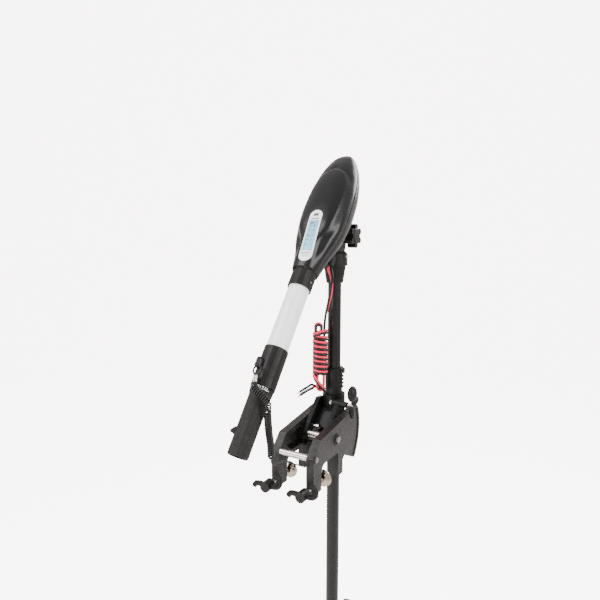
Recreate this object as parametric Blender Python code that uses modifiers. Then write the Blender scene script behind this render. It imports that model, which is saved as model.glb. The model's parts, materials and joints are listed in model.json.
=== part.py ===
"""Transom-mount electric trolling motor, in metres, +Z up.

The origin is the middle of the saddle that hangs on the boat's transom. -Y is inboard, where the pilot
holds the tiller, +Y is outboard and +X is the pilot's left as they face aft.
"""

import math

import bmesh
import bpy
from mathutils import Matrix, Vector

GAP = 0.0003  # clearance kept between neighbouring pieces

# Transom bracket
CHEEK_OUTER_X = 0.0479
CHEEK_INNER_X = 0.0309
CHEEK_X = (CHEEK_OUTER_X + CHEEK_INNER_X) / 2
TILT_PIVOT = (0.0206, 0.0306)  # Y and Z of the tilt axis
FAN_RADIUS = 0.110
TIE = (-0.0685, 0.0210)  # Y and Z of the front tie bolt
SCREW_Z = -0.037
SCREW_RADIUS = 0.0056
PAD_RADIUS = 0.0175
PAD_FACE_Y = -0.020
LOCK_RADIUS = 0.022  # of the lock holes about the tilt axis
LOCK_ANGLE = 30.0
TILT_RANGE = 80.0

# Shaft and what turns round it
SHAFT_Y = 0.100
SHAFT_RADIUS = 0.0143
SHAFT_BORE = 0.0115
SHAFT_TOP = 0.404
SHAFT_BOTTOM = -0.558
SLEEVE_RADIUS = 0.0185
SLEEVE_BORE = 0.0148
RING_RADIUS = 0.0245
RING_BORE = 0.0206
RING_LOW, RING_HIGH = 0.064, 0.100
CLAMP_Y, CLAMP_Z = 0.0705, 0.088  # axis of the steering tension screw
COLLAR_LOW, COLLAR_HIGH = 0.112, 0.158
DEPTH_KNOB_Z = 0.144

# Neck and head
NECK_RADIUS = 0.027
NECK_LOW, NECK_HIGH = 0.343, 0.410
HEAD_PIVOT = (0.1244, 0.4422)  # Y and Z
TONGUE_HALF = 0.0105
EAR_INNER, EAR_OUTER = 0.0112, 0.0152
TILLER_ANGLE = math.radians(52.4)  # of the tiller below the horizontal
TILLER_START = Vector((0, -0.023, 0.378))  # where the head meets its collar
SHELL = 0.0026
SEAM = 0.0006  # from the tiller's axis plane to the rim of each half
# Distance up the head, half width, depth in front of the tiller's axis, depth behind it
HEAD_STATIONS = (
    (-0.008, 0.0243, 0.0243, 0.0248),
    (0.030, 0.0330, 0.0265, 0.0320),
    (0.065, 0.0430, 0.0285, 0.0410),
    (0.100, 0.0495, 0.0310, 0.0485),
    (0.135, 0.0515, 0.0325, 0.0520),
    (0.175, 0.0505, 0.0320, 0.0510),
    (0.215, 0.0455, 0.0295, 0.0460),
    (0.250, 0.0370, 0.0245, 0.0360),
    (0.275, 0.0260, 0.0180, 0.0235),
    (0.287, 0.0160, 0.0115, 0.0130),
)
HEAD_TIP = (0.294, 0.002)  # distance up the head and in front of the axis
HEAD_POWER = 2.6  # of the superellipse that each section follows

# Tiller, by distance down its axis from the head
COLLAR_END = 0.044
TUBE_RADIUS = 0.0203
TUBE_START, TUBE_END = -0.060, 0.191
GRIP_SLEEVE = (0.173, 0.248)
GRIP_SLEEVE_RADIUS = 0.0225
DIAL = (0.2483, 0.2550)
GRIP = (0.2553, 0.3690)
GRIP_RADIUS = 0.0190
KEY_AT = 0.211

# Lower unit
MOTOR_Z = -0.600
MOTOR_RADIUS = 0.044
MOTOR_BORE = 0.041
MOTOR_FRONT, MOTOR_BACK = 0.040, 0.190
NOSE_TIP = -0.035
PROP_RADIUS = 0.120
PROP_BLADES = 3

# Battery lead
LEAD_RADIUS = 0.00265
LEAD_SPREAD = 0.0029  # from the twin lead's middle to each of its two wires
HANK_AT = Vector((-0.0145, 0.0636, 0))
HANK_TURN = math.radians(30.5)  # the hank's broad side about Z
HANK_HALF_THICK = 0.012

PALETTE = {
    "black_nylon": ((0.022, 0.021, 0.020), 0.42, 0.0),
    "gloss_black": ((0.012, 0.011, 0.011), 0.18, 0.0),
    "black_rubber": ((0.015, 0.015, 0.015), 0.75, 0.0),
    "cast_alloy": ((0.045, 0.042, 0.040), 0.45, 0.6),
    "white_tube": ((0.86, 0.87, 0.86), 0.30, 0.0),
    "steel": ((0.62, 0.60, 0.58), 0.25, 1.0),
    "copper": ((0.75, 0.38, 0.22), 0.35, 1.0),
    "ferrite": ((0.10, 0.10, 0.11), 0.60, 0.2),
    "board_green": ((0.02, 0.16, 0.06), 0.45, 0.0),
    "label_blue": ((0.25, 0.62, 0.82), 0.30, 0.0),
    "lead_red": ((0.75, 0.03, 0.05), 0.35, 0.0),
}


def clear_scene():
    for thing in list(bpy.data.objects):
        bpy.data.objects.remove(thing, do_unlink=True)


def new_collection(name):
    made = bpy.data.collections.new(name)
    bpy.context.scene.collection.children.link(made)
    return made


def material(name):
    found = bpy.data.materials.get(name)
    if found:
        return found
    colour, roughness, metallic = PALETTE[name]
    made = bpy.data.materials.new(name)
    made.use_nodes = True
    shader = made.node_tree.nodes["Principled BSDF"]
    shader.inputs["Base Color"].default_value = (*colour, 1)
    shader.inputs["Roughness"].default_value = roughness
    shader.inputs["Metallic"].default_value = metallic
    made.diffuse_color = (*colour, 1)
    return made


def place(name, data, finish, at=None):
    """Puts a mesh or curve in the motor's collection as one named piece."""
    thing = bpy.data.objects.new(name, data)
    MOTOR.objects.link(thing)
    if at is not None:
        thing.matrix_world = at
    data.materials.append(material(finish))
    return thing


def from_bmesh(name, bm, finish, at=None, smooth=35):
    bmesh.ops.recalc_face_normals(bm, faces=bm.faces)
    mesh = bpy.data.meshes.new(name)
    bm.to_mesh(mesh)
    bm.free()
    if smooth:
        mesh.shade_smooth()
        mesh.set_sharp_from_angle(angle=math.radians(smooth))
    return place(name, mesh, finish, at)


def axes(origin, z_axis, x_axis=None):
    """A matrix at the origin with these local Z and X directions."""
    z = Vector(z_axis).normalized()
    if x_axis is None:
        x_axis = (0, 1, 0) if abs(z.x) > 0.9 else (1, 0, 0)
    x = (Vector(x_axis) - z * Vector(x_axis).dot(z)).normalized()
    turn = Matrix((x, z.cross(x), z)).transposed()
    return Matrix.Translation(Vector(origin)) @ turn.to_4x4()


def side_view(x=0.0):
    """A matrix whose local X and Y are the world's Y and Z, for an outline seen from the side."""
    return axes((x, 0, 0), (1, 0, 0), (0, 1, 0))


def bevel(thing, width, segments=1, angle=35):
    modifier = thing.modifiers.new("Bevel", "BEVEL")
    modifier.width = width
    modifier.segments = segments
    modifier.limit_method = "ANGLE"
    modifier.angle_limit = math.radians(angle)


def box(name, low, high, finish, at=None, edge=0.0):
    bm = bmesh.new()
    bmesh.ops.create_cube(bm, size=1)
    low, high = Vector(low), Vector(high)
    bmesh.ops.scale(bm, vec=high - low, verts=bm.verts)
    bmesh.ops.translate(bm, vec=(low + high) / 2, verts=bm.verts)
    thing = from_bmesh(name, bm, finish, at, smooth=0)
    if edge:
        bevel(thing, edge)
    return thing


def rod(name, start, end, radius, finish, sides=20, end_radius=None):
    """A round bar or a cone between two points."""
    start, end = Vector(start), Vector(end)
    bm = bmesh.new()
    bmesh.ops.create_cone(
        bm,
        cap_ends=True,
        segments=sides,
        radius1=radius,
        radius2=radius if end_radius is None else end_radius,
        depth=(end - start).length,
    )
    return from_bmesh(name, bm, finish, axes((start + end) / 2, end - start))


def turned(name, profile, finish, at, sides=28, ring=False):
    """A solid of revolution about local Z. The profile is (radius, z) and runs down its outer side."""
    mesh = bpy.data.meshes.new(name)
    count = len(profile)
    edges = [(i, i + 1) for i in range(count - 1)]
    if ring:
        edges.append((count - 1, 0))
    mesh.from_pydata([(radius, 0, z) for radius, z in profile], edges, [])
    thing = place(name, mesh, finish, at)
    screw = thing.modifiers.new("Screw", "SCREW")
    screw.steps = screw.render_steps = sides
    screw.use_merge_vertices = True
    screw.merge_threshold = 0.00001
    screw.use_smooth_shade = True
    return thing


def sleeve(name, outer, inner, low, high, finish, at, sides=28):
    """A plain ring or tube about local Z."""
    return turned(name, [(outer, high), (outer, low), (inner, low), (inner, high)], finish, at, sides, True)


def plate(name, outline, thickness, finish, at, edge=0.0, smooth=35):
    """A flat outline in local X and Y, as thick as said about local Z."""
    curve = bpy.data.curves.new(name, "CURVE")
    curve.dimensions = "2D"
    curve.fill_mode = "BOTH"
    curve.extrude = thickness / 2
    spline = curve.splines.new("POLY")
    spline.points.add(len(outline) - 1)
    for point, (x, y) in zip(spline.points, outline):
        point.co = (x, y, 0, 1)
    spline.use_cyclic_u = True
    guide = bpy.data.objects.new(name, curve)
    MOTOR.objects.link(guide)
    bpy.context.view_layer.update()
    graph = bpy.context.evaluated_depsgraph_get()
    mesh = bpy.data.meshes.new_from_object(guide.evaluated_get(graph))
    bpy.data.objects.remove(guide, do_unlink=True)
    bm = bmesh.new()
    bm.from_mesh(mesh)
    bpy.data.meshes.remove(mesh)
    bmesh.ops.remove_doubles(bm, verts=bm.verts, dist=0.00001)
    thing = from_bmesh(name, bm, finish, at, smooth)
    if edge:
        bevel(thing, edge)
    return thing


def tube(name, points, radius, finish, resolution=2):
    """A round wire or cord through these points."""
    curve = bpy.data.curves.new(name, "CURVE")
    curve.dimensions = "3D"
    curve.bevel_depth = radius
    curve.bevel_resolution = resolution
    curve.use_fill_caps = True
    spline = curve.splines.new("POLY")
    spline.points.add(len(points) - 1)
    for point, position in zip(spline.points, points):
        point.co = (*position, 1)
    return place(name, curve, finish)


def smooth_route(points, spacing):
    """Points about this far apart along a Catmull-Rom curve through the route's own points."""
    points = [Vector(p) for p in points]
    ends = [2 * points[0] - points[1]] + points + [2 * points[-1] - points[-2]]
    route = []
    for a, b, c, d in zip(ends, ends[1:], ends[2:], ends[3:]):
        steps = max(1, round((c - b).length / spacing))
        for i in range(steps):
            t = i / steps
            bend = (2 * a - 5 * b + 4 * c - d) * t + (3 * b - 3 * c + d - a) * t * t
            route.append(b + ((c - a) + bend) * t / 2)
    return route + [points[-1]]


def arc(centre, radius, start, end, steps):
    """Points of an arc, in degrees, both ends included."""
    points = []
    for i in range(steps + 1):
        angle = math.radians(start + (end - start) * i / steps)
        points.append((centre[0] + radius * math.cos(angle), centre[1] + radius * math.sin(angle)))
    return points


def combine(thing, others, operation):
    """Cuts or joins the others with Booleans. They become helpers in the collection of cutters."""
    for other in others:
        modifier = thing.modifiers.new(operation.title(), "BOOLEAN")
        modifier.operation = operation
        modifier.object = other
        other.hide_render = True
        other.display_type = "WIRE"
        MOTOR.objects.unlink(other)
        CUTTERS.objects.link(other)
    return thing


def cut(thing, *cutters):
    return combine(thing, cutters, "DIFFERENCE")


def fuse(thing, *others):
    return combine(thing, others, "UNION")


def joint(name, origin, children, parent=None):
    """An empty on a joint's axis that carries the pieces which move with it."""
    empty = bpy.data.objects.new(name, None)
    empty.empty_display_size = 0.02
    MOTOR.objects.link(empty)
    empty.location = origin
    if parent:
        empty.parent = parent
        empty.matrix_parent_inverse = Matrix.Translation(-Vector(parent["origin"]))
    empty["origin"] = tuple(origin)
    for child in children:
        child.parent = empty
        child.matrix_parent_inverse = Matrix.Translation(-Vector(origin))
    return empty


def tiller_axes(down=0.0):
    """Local Z runs up the tiller and local -Y faces the pilot; the origin is this far down from the head."""
    up = Vector((0, math.cos(TILLER_ANGLE), math.sin(TILLER_ANGLE)))
    return axes(TILLER_START - up * down, up)


def lock_hole(angle):
    """Y and Z of the tilt lock at this angle about the tilt axis."""
    return arc(TILT_PIVOT, LOCK_RADIUS, angle, angle, 1)[0]


# Transom bracket


def cheek_outline():
    return [
        (-0.076, -0.050),
        (-0.045, -0.050),
        (-0.045, -0.016),
        *arc((-0.029, -0.016), 0.016, 180, 90, 4)[1:],
        (0.024, 0.000),
        (0.028, -0.004),
        (0.028, -0.052),
        (0.050, -0.052),
        (0.050, -0.024),
        (0.058, -0.017),
        *arc(TILT_PIVOT, FAN_RADIUS, -40, 23, 9),
        (-0.048, 0.052),
        (-0.076, 0.022),
    ]


def pocket_outline():
    return [
        (-0.028, 0.009),
        (0.036, 0.009),
        (0.062, -0.008),
        *arc(TILT_PIVOT, FAN_RADIUS - 0.009, -35, 17, 6),
        (-0.036, 0.043),
        (-0.050, 0.028),
    ]


def make_cheek(name, side):
    """One side casting: a plate with a deep rim, open towards the middle."""
    thick = CHEEK_OUTER_X - CHEEK_INNER_X
    cheek = plate(name, cheek_outline(), thick, "cast_alloy", side_view(side * CHEEK_X))
    pocket_deep = 0.0105
    pocket_x = side * (CHEEK_INNER_X + pocket_deep / 2 - 0.001)
    cut(
        cheek,
        plate(f"{name}_pocket", pocket_outline(), pocket_deep + 0.002, "cast_alloy", side_view(pocket_x)),
    )
    locks = [lock_hole(LOCK_ANGLE), lock_hole(LOCK_ANGLE + TILT_RANGE)] if side < 0 else []
    bosses = []
    for spot, radius in [(TILT_PIVOT, 0.013)] + [(lock, 0.0075) for lock in locks]:
        start = (side * (CHEEK_INNER_X + 0.0002), *spot)
        bosses.append(rod(f"{name}_boss", start, (side * 0.044, *spot), radius, "cast_alloy"))
    fuse(cheek, *bosses)
    holes = [
        rod(f"{name}_pivot_hole", (0, *TILT_PIVOT), (side * 0.06, *TILT_PIVOT), 0.0053, "cast_alloy"),
        rod(f"{name}_tie_hole", (0, *TIE), (side * 0.06, *TIE), 0.0043, "cast_alloy", 16),
        rod(
            f"{name}_screw_hole",
            (side * CHEEK_X, -0.09, SCREW_Z),
            (side * CHEEK_X, -0.03, SCREW_Z),
            SCREW_RADIUS + 0.0006,
            "cast_alloy",
        ),
    ]
    for spot in locks:
        holes.append(rod(f"{name}_lock", (-0.02, *spot), (-0.06, *spot), 0.0044, "cast_alloy", 16))
    return cut(cheek, *holes)


def make_bracket():
    make_cheek("bracket_cheek_right", 1)
    make_cheek("bracket_cheek_left", -1)
    wall = CHEEK_INNER_X - GAP
    box("rear_web", (-wall, 0.0285, -0.002), (wall, 0.0340, 0.011), "cast_alloy", edge=0.001)
    tie_x = axes((0, *TIE), (1, 0, 0))
    sleeve("front_spacer_tube", 0.0065, 0.0043, -wall, wall, "steel", tie_x, 20)
    head = CHEEK_OUTER_X + GAP
    bolt = [
        (0, head + 0.0035),
        (0.005, head + 0.0035),
        (0.0065, head),
        (0.004, head),
        (0.004, -0.056),
        (0, -0.056),
    ]
    turned("front_tie_bolt", bolt, "steel", tie_x, 16)
    nut = plate(
        "front_tie_nut",
        arc((0, 0), 0.0072, 0, 300, 5),
        0.005,
        "steel",
        axes((-0.0508, *TIE), (1, 0, 0)),
    )
    cut(nut, rod("front_tie_nut_bore", (-0.06, *TIE), (-0.04, *TIE), 0.0043, "steel", 16))
    pivot_x = axes((0, *TILT_PIVOT), (1, 0, 0))
    sleeve("tilt_pivot_sleeve", 0.0070, 0.0053, -0.0190, 0.0190, "steel", pivot_x, 20)
    bolt = [
        (0, head + 0.005),
        (0.007, head + 0.005),
        (0.008, head),
        (0.005, head),
        (0.005, -0.057),
        (0, -0.057),
    ]
    turned("tilt_pivot_bolt", bolt, "steel", pivot_x, 20)
    at = axes((-0.0512, *TILT_PIVOT), (1, 0, 0))
    nut = plate("tilt_pivot_nut", arc((0, 0), 0.0090, 0, 300, 5), 0.006, "steel", at)
    cut(nut, rod("tilt_pivot_nut_bore", (-0.06, *TILT_PIVOT), (-0.04, *TILT_PIVOT), 0.0053, "steel"))


def make_clamp(side):
    """A clamp screw with its hooked handle, and the swivel pad that presses on the transom."""
    word = "right" if side > 0 else "left"
    x = side * CHEEK_X
    at = axes((x, 0, SCREW_Z), (0, 1, 0))
    back = PAD_FACE_Y - 0.012
    dome = [(0, PAD_FACE_Y), (PAD_RADIUS, PAD_FACE_Y), (PAD_RADIUS, PAD_FACE_Y - 0.002)]
    for angle in (25, 50, 70):
        rise = 0.002 + 0.010 * math.sin(math.radians(angle))
        dome.append((PAD_RADIUS * math.cos(math.radians(angle)), PAD_FACE_Y - rise))
    # Local Z points outboard, so the flat face is the profile's top.
    pad = turned(f"clamp_pad_{word}", dome + [(0, back)], "steel", at, 24)
    hub_front = -0.0925
    screw = rod(
        f"clamp_screw_{word}",
        (x, back - GAP, SCREW_Z),
        (x, hub_front - 0.018, SCREW_Z),
        SCREW_RADIUS,
        "steel",
        16,
    )
    hub = rod(
        f"clamp_handle_{word}",
        (x, hub_front, SCREW_Z),
        (x, hub_front - 0.022, SCREW_Z),
        0.0105,
        "black_nylon",
        18,
    )
    bar_y = hub_front - 0.011
    hook = [
        (-0.031, -0.007),
        (-0.026, -0.001),
        (-0.010, 0),
        (0.010, 0),
        (0.021, 0.001),
        (0.028, 0.008),
        (0.027, 0.019),
        (0.018, 0.025),
    ]
    bar = tube(
        "handle_bar_guide",
        smooth_route([(x + h, bar_y, SCREW_Z + z) for h, z in hook], 0.006),
        0.0055,
        "black_nylon",
    )
    solid = solid_from_curve(bar)
    fuse(hub, solid)
    bore_end = (x, hub_front - 0.0185, SCREW_Z)
    cut(
        hub,
        rod(
            f"clamp_bore_{word}",
            (x, hub_front + 0.01, SCREW_Z),
            bore_end,
            SCREW_RADIUS + GAP,
            "black_nylon",
            16,
        ),
    )
    slide = joint(f"clamp_slide_{word}", (x, PAD_FACE_Y, SCREW_Z), [pad])
    joint(f"clamp_turn_{word}", (x, PAD_FACE_Y, SCREW_Z), [screw, hub], slide)


def solid_from_curve(guide):
    """The mesh of a curve, with its caps welded, so that a Boolean can take it."""
    bpy.context.view_layer.update()
    graph = bpy.context.evaluated_depsgraph_get()
    mesh = bpy.data.meshes.new_from_object(guide.evaluated_get(graph))
    bm = bmesh.new()
    bm.from_mesh(mesh)
    bpy.data.meshes.remove(mesh)
    bmesh.ops.remove_doubles(bm, verts=bm.verts, dist=0.00001)
    name, at = guide.name, guide.matrix_world.copy()
    finish = guide.data.materials[0].name
    bpy.data.objects.remove(guide, do_unlink=True)
    return from_bmesh(name, bm, finish, at)


# Tilting carriage and steering sleeve


def make_carriage():
    """The yoke between the cheeks, which tilts about the pivot bolt and carries the steering ring."""
    ring_at = axes((0, SHAFT_Y, 0), (0, 0, 1))
    yoke = turned(
        "tilt_carriage",
        [(RING_RADIUS, RING_HIGH), (RING_RADIUS, RING_LOW), (RING_BORE, RING_LOW), (RING_BORE, RING_HIGH)],
        "cast_alloy",
        ring_at,
        28,
        True,
    )
    arm = [
        *arc(TILT_PIVOT, 0.012, 135, 290, 8),
        (0.070, 0.052),
        (0.092, 0.066),
        (0.096, 0.074),
        (0.092, 0.092),
        (0.072, 0.094),
    ]
    arms = []
    for side in (1, -1):
        slab = plate(f"carriage_arm_{side}", arm, 0.0098, "cast_alloy", side_view(side * 0.0243))
        arms.append(slab)
    web = [(0.046, 0.040), (0.050, 0.036), (0.079, 0.060), (0.079, 0.072), (0.072, 0.066)]
    arms.append(plate("carriage_web", web, 0.040, "cast_alloy", side_view()))
    barrel_start, barrel_end = (0.0120, CLAMP_Y, CLAMP_Z), (0.0465, CLAMP_Y, CLAMP_Z)
    arms.append(rod("carriage_barrel", barrel_start, barrel_end, 0.0065, "cast_alloy", 18))
    arms.append(box("carriage_lug", (0.0122, 0.068, 0.0825), (0.0222, 0.087, 0.0935), "cast_alloy"))
    fuse(yoke, *arms)
    plunger = lock_hole(LOCK_ANGLE)
    cut(
        yoke,
        rod("carriage_bore", (0, SHAFT_Y, 0.03), (0, SHAFT_Y, 0.13), RING_BORE, "cast_alloy", 28),
        rod("carriage_flange_room", (0, SHAFT_Y, 0.03), (0, SHAFT_Y, RING_LOW), 0.0236, "cast_alloy", 28),
        rod("carriage_pivot_bore", (-0.04, *TILT_PIVOT), (0.04, *TILT_PIVOT), 0.0053, "cast_alloy"),
        rod("carriage_lock_bore", (-0.04, *plunger), (-0.015, *plunger), 0.0043, "cast_alloy", 16),
        rod(
            "carriage_clamp_bore",
            (0.0, CLAMP_Y, CLAMP_Z),
            (0.06, CLAMP_Y, CLAMP_Z),
            0.0034,
            "cast_alloy",
            12,
        ),
    )
    bush = sleeve(
        "steering_bush",
        RING_BORE - GAP,
        SLEEVE_RADIUS + GAP,
        RING_LOW,
        RING_HIGH,
        "black_nylon",
        ring_at,
    )
    head = plate(
        "tension_screw",
        arc((0, 0), 0.0055, 30, 330, 5),
        0.005,
        "steel",
        axes((0.0091, CLAMP_Y, CLAMP_Z), (1, 0, 0)),
    )
    shank_end = (0.0600, CLAMP_Y, CLAMP_Z)
    fuse(head, rod("tension_screw_shank", (0.0100, CLAMP_Y, CLAMP_Z), shank_end, 0.003, "steel", 12))
    return [yoke, bush, head]


def make_tension_knob():
    """The wing knob that sets how hard the steering turns."""
    hub = rod(
        "tension_knob",
        (0.0490, CLAMP_Y, CLAMP_Z),
        (0.0640, CLAMP_Y, CLAMP_Z),
        0.0085,
        "black_nylon",
        18,
    )
    # Seen along Y: local X is the world's X and local Y is Z.
    face = Matrix.Translation((0.0600, CLAMP_Y, CLAMP_Z)) @ Matrix.Rotation(math.pi / 2, 4, "X")
    wings = [
        (-0.006, -0.004),
        (-0.007, -0.030),
        *arc((0.000, -0.030), 0.007, 180, 360, 4)[1:],
        (0.006, -0.004),
        (0.006, 0.004),
        (0.010, 0.033),
        *arc((0.000, 0.034), 0.010, 0, 180, 6),
        (-0.010, 0.030),
        (-0.006, 0.004),
    ]
    fuse(hub, plate("tension_knob_wings", wings, 0.0055, "black_nylon", face))
    return cut(
        hub,
        rod(
            "tension_knob_bore",
            (0.04, CLAMP_Y, CLAMP_Z),
            (0.0605, CLAMP_Y, CLAMP_Z),
            0.0034,
            "black_nylon",
            12,
        ),
    )


def make_lock_plunger():
    spot = lock_hole(LOCK_ANGLE)
    plunger = rod("tilt_lock_plunger", (-0.0302, *spot), (-0.008, *spot), 0.0040, "steel", 16)
    return fuse(plunger, rod("plunger_knob", (-0.0100, *spot), (-0.0030, *spot), 0.0058, "steel", 16))


def make_steering():
    at = axes((0, SHAFT_Y, 0), (0, 0, 1))
    low = RING_LOW - 0.0063
    flanged = [
        (SLEEVE_RADIUS, COLLAR_LOW - GAP),
        (SLEEVE_RADIUS, RING_LOW - GAP),
        (0.023, RING_LOW - GAP),
        (0.023, low),
        (SLEEVE_BORE, low),
        (SLEEVE_BORE, COLLAR_LOW - GAP),
    ]
    tube_ = turned("steering_sleeve", flanged, "black_nylon", at, 28, True)
    collar = sleeve(
        "depth_collar",
        SLEEVE_RADIUS + 0.0004,
        SLEEVE_BORE,
        COLLAR_LOW,
        COLLAR_HIGH,
        "black_nylon",
        at,
    )
    ribs = [box("collar_tab", (0.017, 0.096, 0.1475), (0.0240, 0.106, 0.1580), "black_nylon")]
    for i in range(4):
        height = 0.1155 + 0.0078 * i
        ribs.append(
            box(f"collar_rib_{i}", (0.016, 0.096, height), (0.0222, 0.104, height + 0.0042), "black_nylon"),
        )
    at = axes((0, SHAFT_Y, DEPTH_KNOB_Z), (0, 1, 0))
    boss = rod("collar_boss", at @ Vector((0, 0, 0.0165)), at @ Vector((0, 0, 0.0225)), 0.0072, "black_nylon", 18)
    fuse(collar, *ribs, boss)
    bore = rod("collar_bore", at @ Vector((0, 0, 0.010)), at @ Vector((0, 0, 0.030)), 0.0033, "black_nylon", 12)
    cut(collar, bore)
    knob = rod("depth_knob", at @ Vector((0, 0, 0.0228)), at @ Vector((0, 0, 0.0345)), 0.0095, "black_nylon", 12)
    fuse(knob, rod("depth_knob_stem", at @ Vector((0, 0, 0.0147)), at @ Vector((0, 0, 0.0280)), 0.0029, "steel", 12))
    return [tube_, collar], knob


# Shaft, neck and lower unit


def make_neck():
    at = axes((0, SHAFT_Y, 0), (0, 0, 1))
    profile = [
        (0, NECK_HIGH),
        (0.022, NECK_HIGH),
        (NECK_RADIUS, NECK_HIGH - 0.005),
        (NECK_RADIUS, 0.3805),
        (0.0235, 0.3785),
        (0.0180, NECK_LOW),
        (SHAFT_RADIUS + GAP, NECK_LOW),
        (SHAFT_RADIUS + GAP, SHAFT_TOP + GAP),
        (0, SHAFT_TOP + GAP),
    ]
    neck = turned("neck_yoke", profile, "black_nylon", at)
    tongue = [(0.088, 0.4060), (0.125, 0.4060), *arc(HEAD_PIVOT, 0.0135, -20, 150, 8)]
    fuse(neck, plate("neck_tongue", tongue, 2 * TONGUE_HALF, "black_nylon", side_view()))
    cut(
        neck,
        rod("neck_pivot_bore", (-0.02, *HEAD_PIVOT), (0.02, *HEAD_PIVOT), 0.0044, "black_nylon", 16),
        rod("neck_screw_bore", (0.0175, SHAFT_Y, 0.4000), (0.03, SHAFT_Y, 0.4000), 0.0026, "black_nylon", 12),
    )
    head_x = NECK_RADIUS + GAP
    profile = [
        (0, head_x + 0.002),
        (0.003, head_x + 0.002),
        (0.004, head_x),
        (0.0022, head_x),
        (0.0022, 0.018),
        (0, 0.018),
    ]
    screw = turned("neck_screw", profile, "steel", axes((0, SHAFT_Y, 0.4000), (1, 0, 0)), 12)
    gland = rod(
        "lead_gland",
        (0.0055, 0.080, 0.4030),
        (0.0080, 0.0625, 0.3800),
        0.0095,
        "black_rubber",
        20,
        0.0072,
    )
    cut(
        gland,
        rod("gland_seat", (0, SHAFT_Y, 0.30), (0, SHAFT_Y, 0.45), NECK_RADIUS + GAP, "black_rubber", 40),
    )
    tube_ = sleeve("shaft_tube", SHAFT_RADIUS, SHAFT_BORE, SHAFT_BOTTOM, SHAFT_TOP, "black_nylon", at)
    return [neck, screw, gland, tube_]


def make_motor():
    """The sealed motor pod, with the magnets and bearings that stay still."""
    at = axes((0, 0, MOTOR_Z), (0, 1, 0))
    pod = sleeve("motor_housing", MOTOR_RADIUS, MOTOR_BORE, MOTOR_FRONT, MOTOR_BACK, "gloss_black", at, 32)
    top = MOTOR_Z + MOTOR_RADIUS
    boss = rod(
        "housing_boss",
        (0, SHAFT_Y, top - 0.002),
        (0, SHAFT_Y, top + 0.034),
        0.026,
        "gloss_black",
        24,
        0.0185,
    )
    keel = [
        (0.070, -0.0425),
        (0.165, -0.0425),
        (0.150, -0.074),
        (0.128, -0.110),
        (0.112, -0.114),
        (0.096, -0.094),
    ]
    fuse(pod, boss, plate("skeg", [(y, MOTOR_Z + z) for y, z in keel], 0.005, "gloss_black", side_view()))
    bore = SHAFT_RADIUS + GAP
    cut(
        pod,
        rod("boss_bore", (0, SHAFT_Y, SHAFT_BOTTOM - GAP), (0, SHAFT_Y, top + 0.05), bore, "gloss_black", 28),
        rod("wire_hole", (0, SHAFT_Y, top - 0.01), (0, SHAFT_Y, top + 0.01), 0.006, "gloss_black", 16),
    )
    nose = [
        (0, MOTOR_FRONT - 0.004),
        (0.0400, MOTOR_FRONT - 0.004),
        (0.0400, MOTOR_FRONT + 0.006),
        (0.0407, MOTOR_FRONT + 0.006),
    ]
    nose += [(0.0407, MOTOR_FRONT - GAP), (MOTOR_RADIUS, MOTOR_FRONT - GAP)]
    length = MOTOR_FRONT - GAP - NOSE_TIP
    for degrees in (20, 38, 54, 68, 80):
        angle = math.radians(degrees)
        nose.append((MOTOR_RADIUS * math.cos(angle), MOTOR_FRONT - GAP - length * math.sin(angle)))
    nose_cone = turned("nose_cone", nose + [(0, NOSE_TIP)], "gloss_black", at, 32)
    back = MOTOR_BACK + GAP
    cap = [(0.0085, back + 0.014), (0.020, back + 0.014), (0.030, back + 0.011), (MOTOR_RADIUS, back)]
    cap += [(0.0407, back), (0.0407, MOTOR_BACK - 0.006), (0.0085, MOTOR_BACK - 0.006)]
    rear_cap = turned("rear_cap", cap, "gloss_black", at, 32, True)
    magnets = []
    for side, word in ((1, "right"), (-1, "left")):
        outer = arc((0, 0), MOTOR_BORE - 0.0004, -65, 65, 8)
        inner = arc((0, 0), 0.0345, 65, -65, 8)
        shape = [(side * x, y) for x, y in outer + inner]
        magnets.append(plate(f"magnet_{word}", shape, 0.080, "ferrite", axes((0, 0.112, MOTOR_Z), (0, 1, 0))))
    brushes = sleeve("brush_plate", 0.0390, 0.0130, 0.048, 0.052, "black_nylon", at, 24)
    rear = sleeve("shaft_seal", 0.0082, 0.0063, MOTOR_BACK - 0.004, back + 0.012, "black_rubber", at, 20)
    return [pod, nose_cone, rear_cap, *magnets, brushes, rear]


def blade(index):
    """One weed-shedding blade: a swept plate that twists along its length."""
    bm = bmesh.new()
    loops = []
    root = 0.010
    count = 6
    for i in range(count):
        t = i / (count - 1)
        radius = root + (PROP_RADIUS - root) * t
        chord = 0.030 + 0.026 * math.sin(math.pi * min(1, t * 0.9)) - 0.022 * t**3
        pitch = math.radians(62 - 38 * t)
        sweep = -0.020 * t * t
        thick = 0.0055 - 0.0035 * t
        loop = []
        for u, v in ((-0.5, 0), (-0.2, 0.5), (0.3, 0.4), (0.5, 0), (0.3, -0.4), (-0.2, -0.5)):
            across = u * chord + sweep
            out = v * thick
            x = across * math.cos(pitch) - out * math.sin(pitch)
            y = across * math.sin(pitch) + out * math.cos(pitch)
            loop.append(bm.verts.new((x, y, radius)))
        loops.append(loop)
    for a, b in zip(loops, loops[1:]):
        for j in range(len(a)):
            k = (j + 1) % len(a)
            bm.faces.new((a[j], a[k], b[k], b[j]))
    bm.faces.new(loops[0])
    bm.faces.new(loops[-1])
    turn = Matrix.Rotation(2 * math.pi * index / PROP_BLADES, 4, "Y")
    hub_y = MOTOR_BACK + 0.0375
    return from_bmesh(f"blade_{index}", bm, "black_nylon", Matrix.Translation((0, hub_y, MOTOR_Z)) @ turn)


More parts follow.
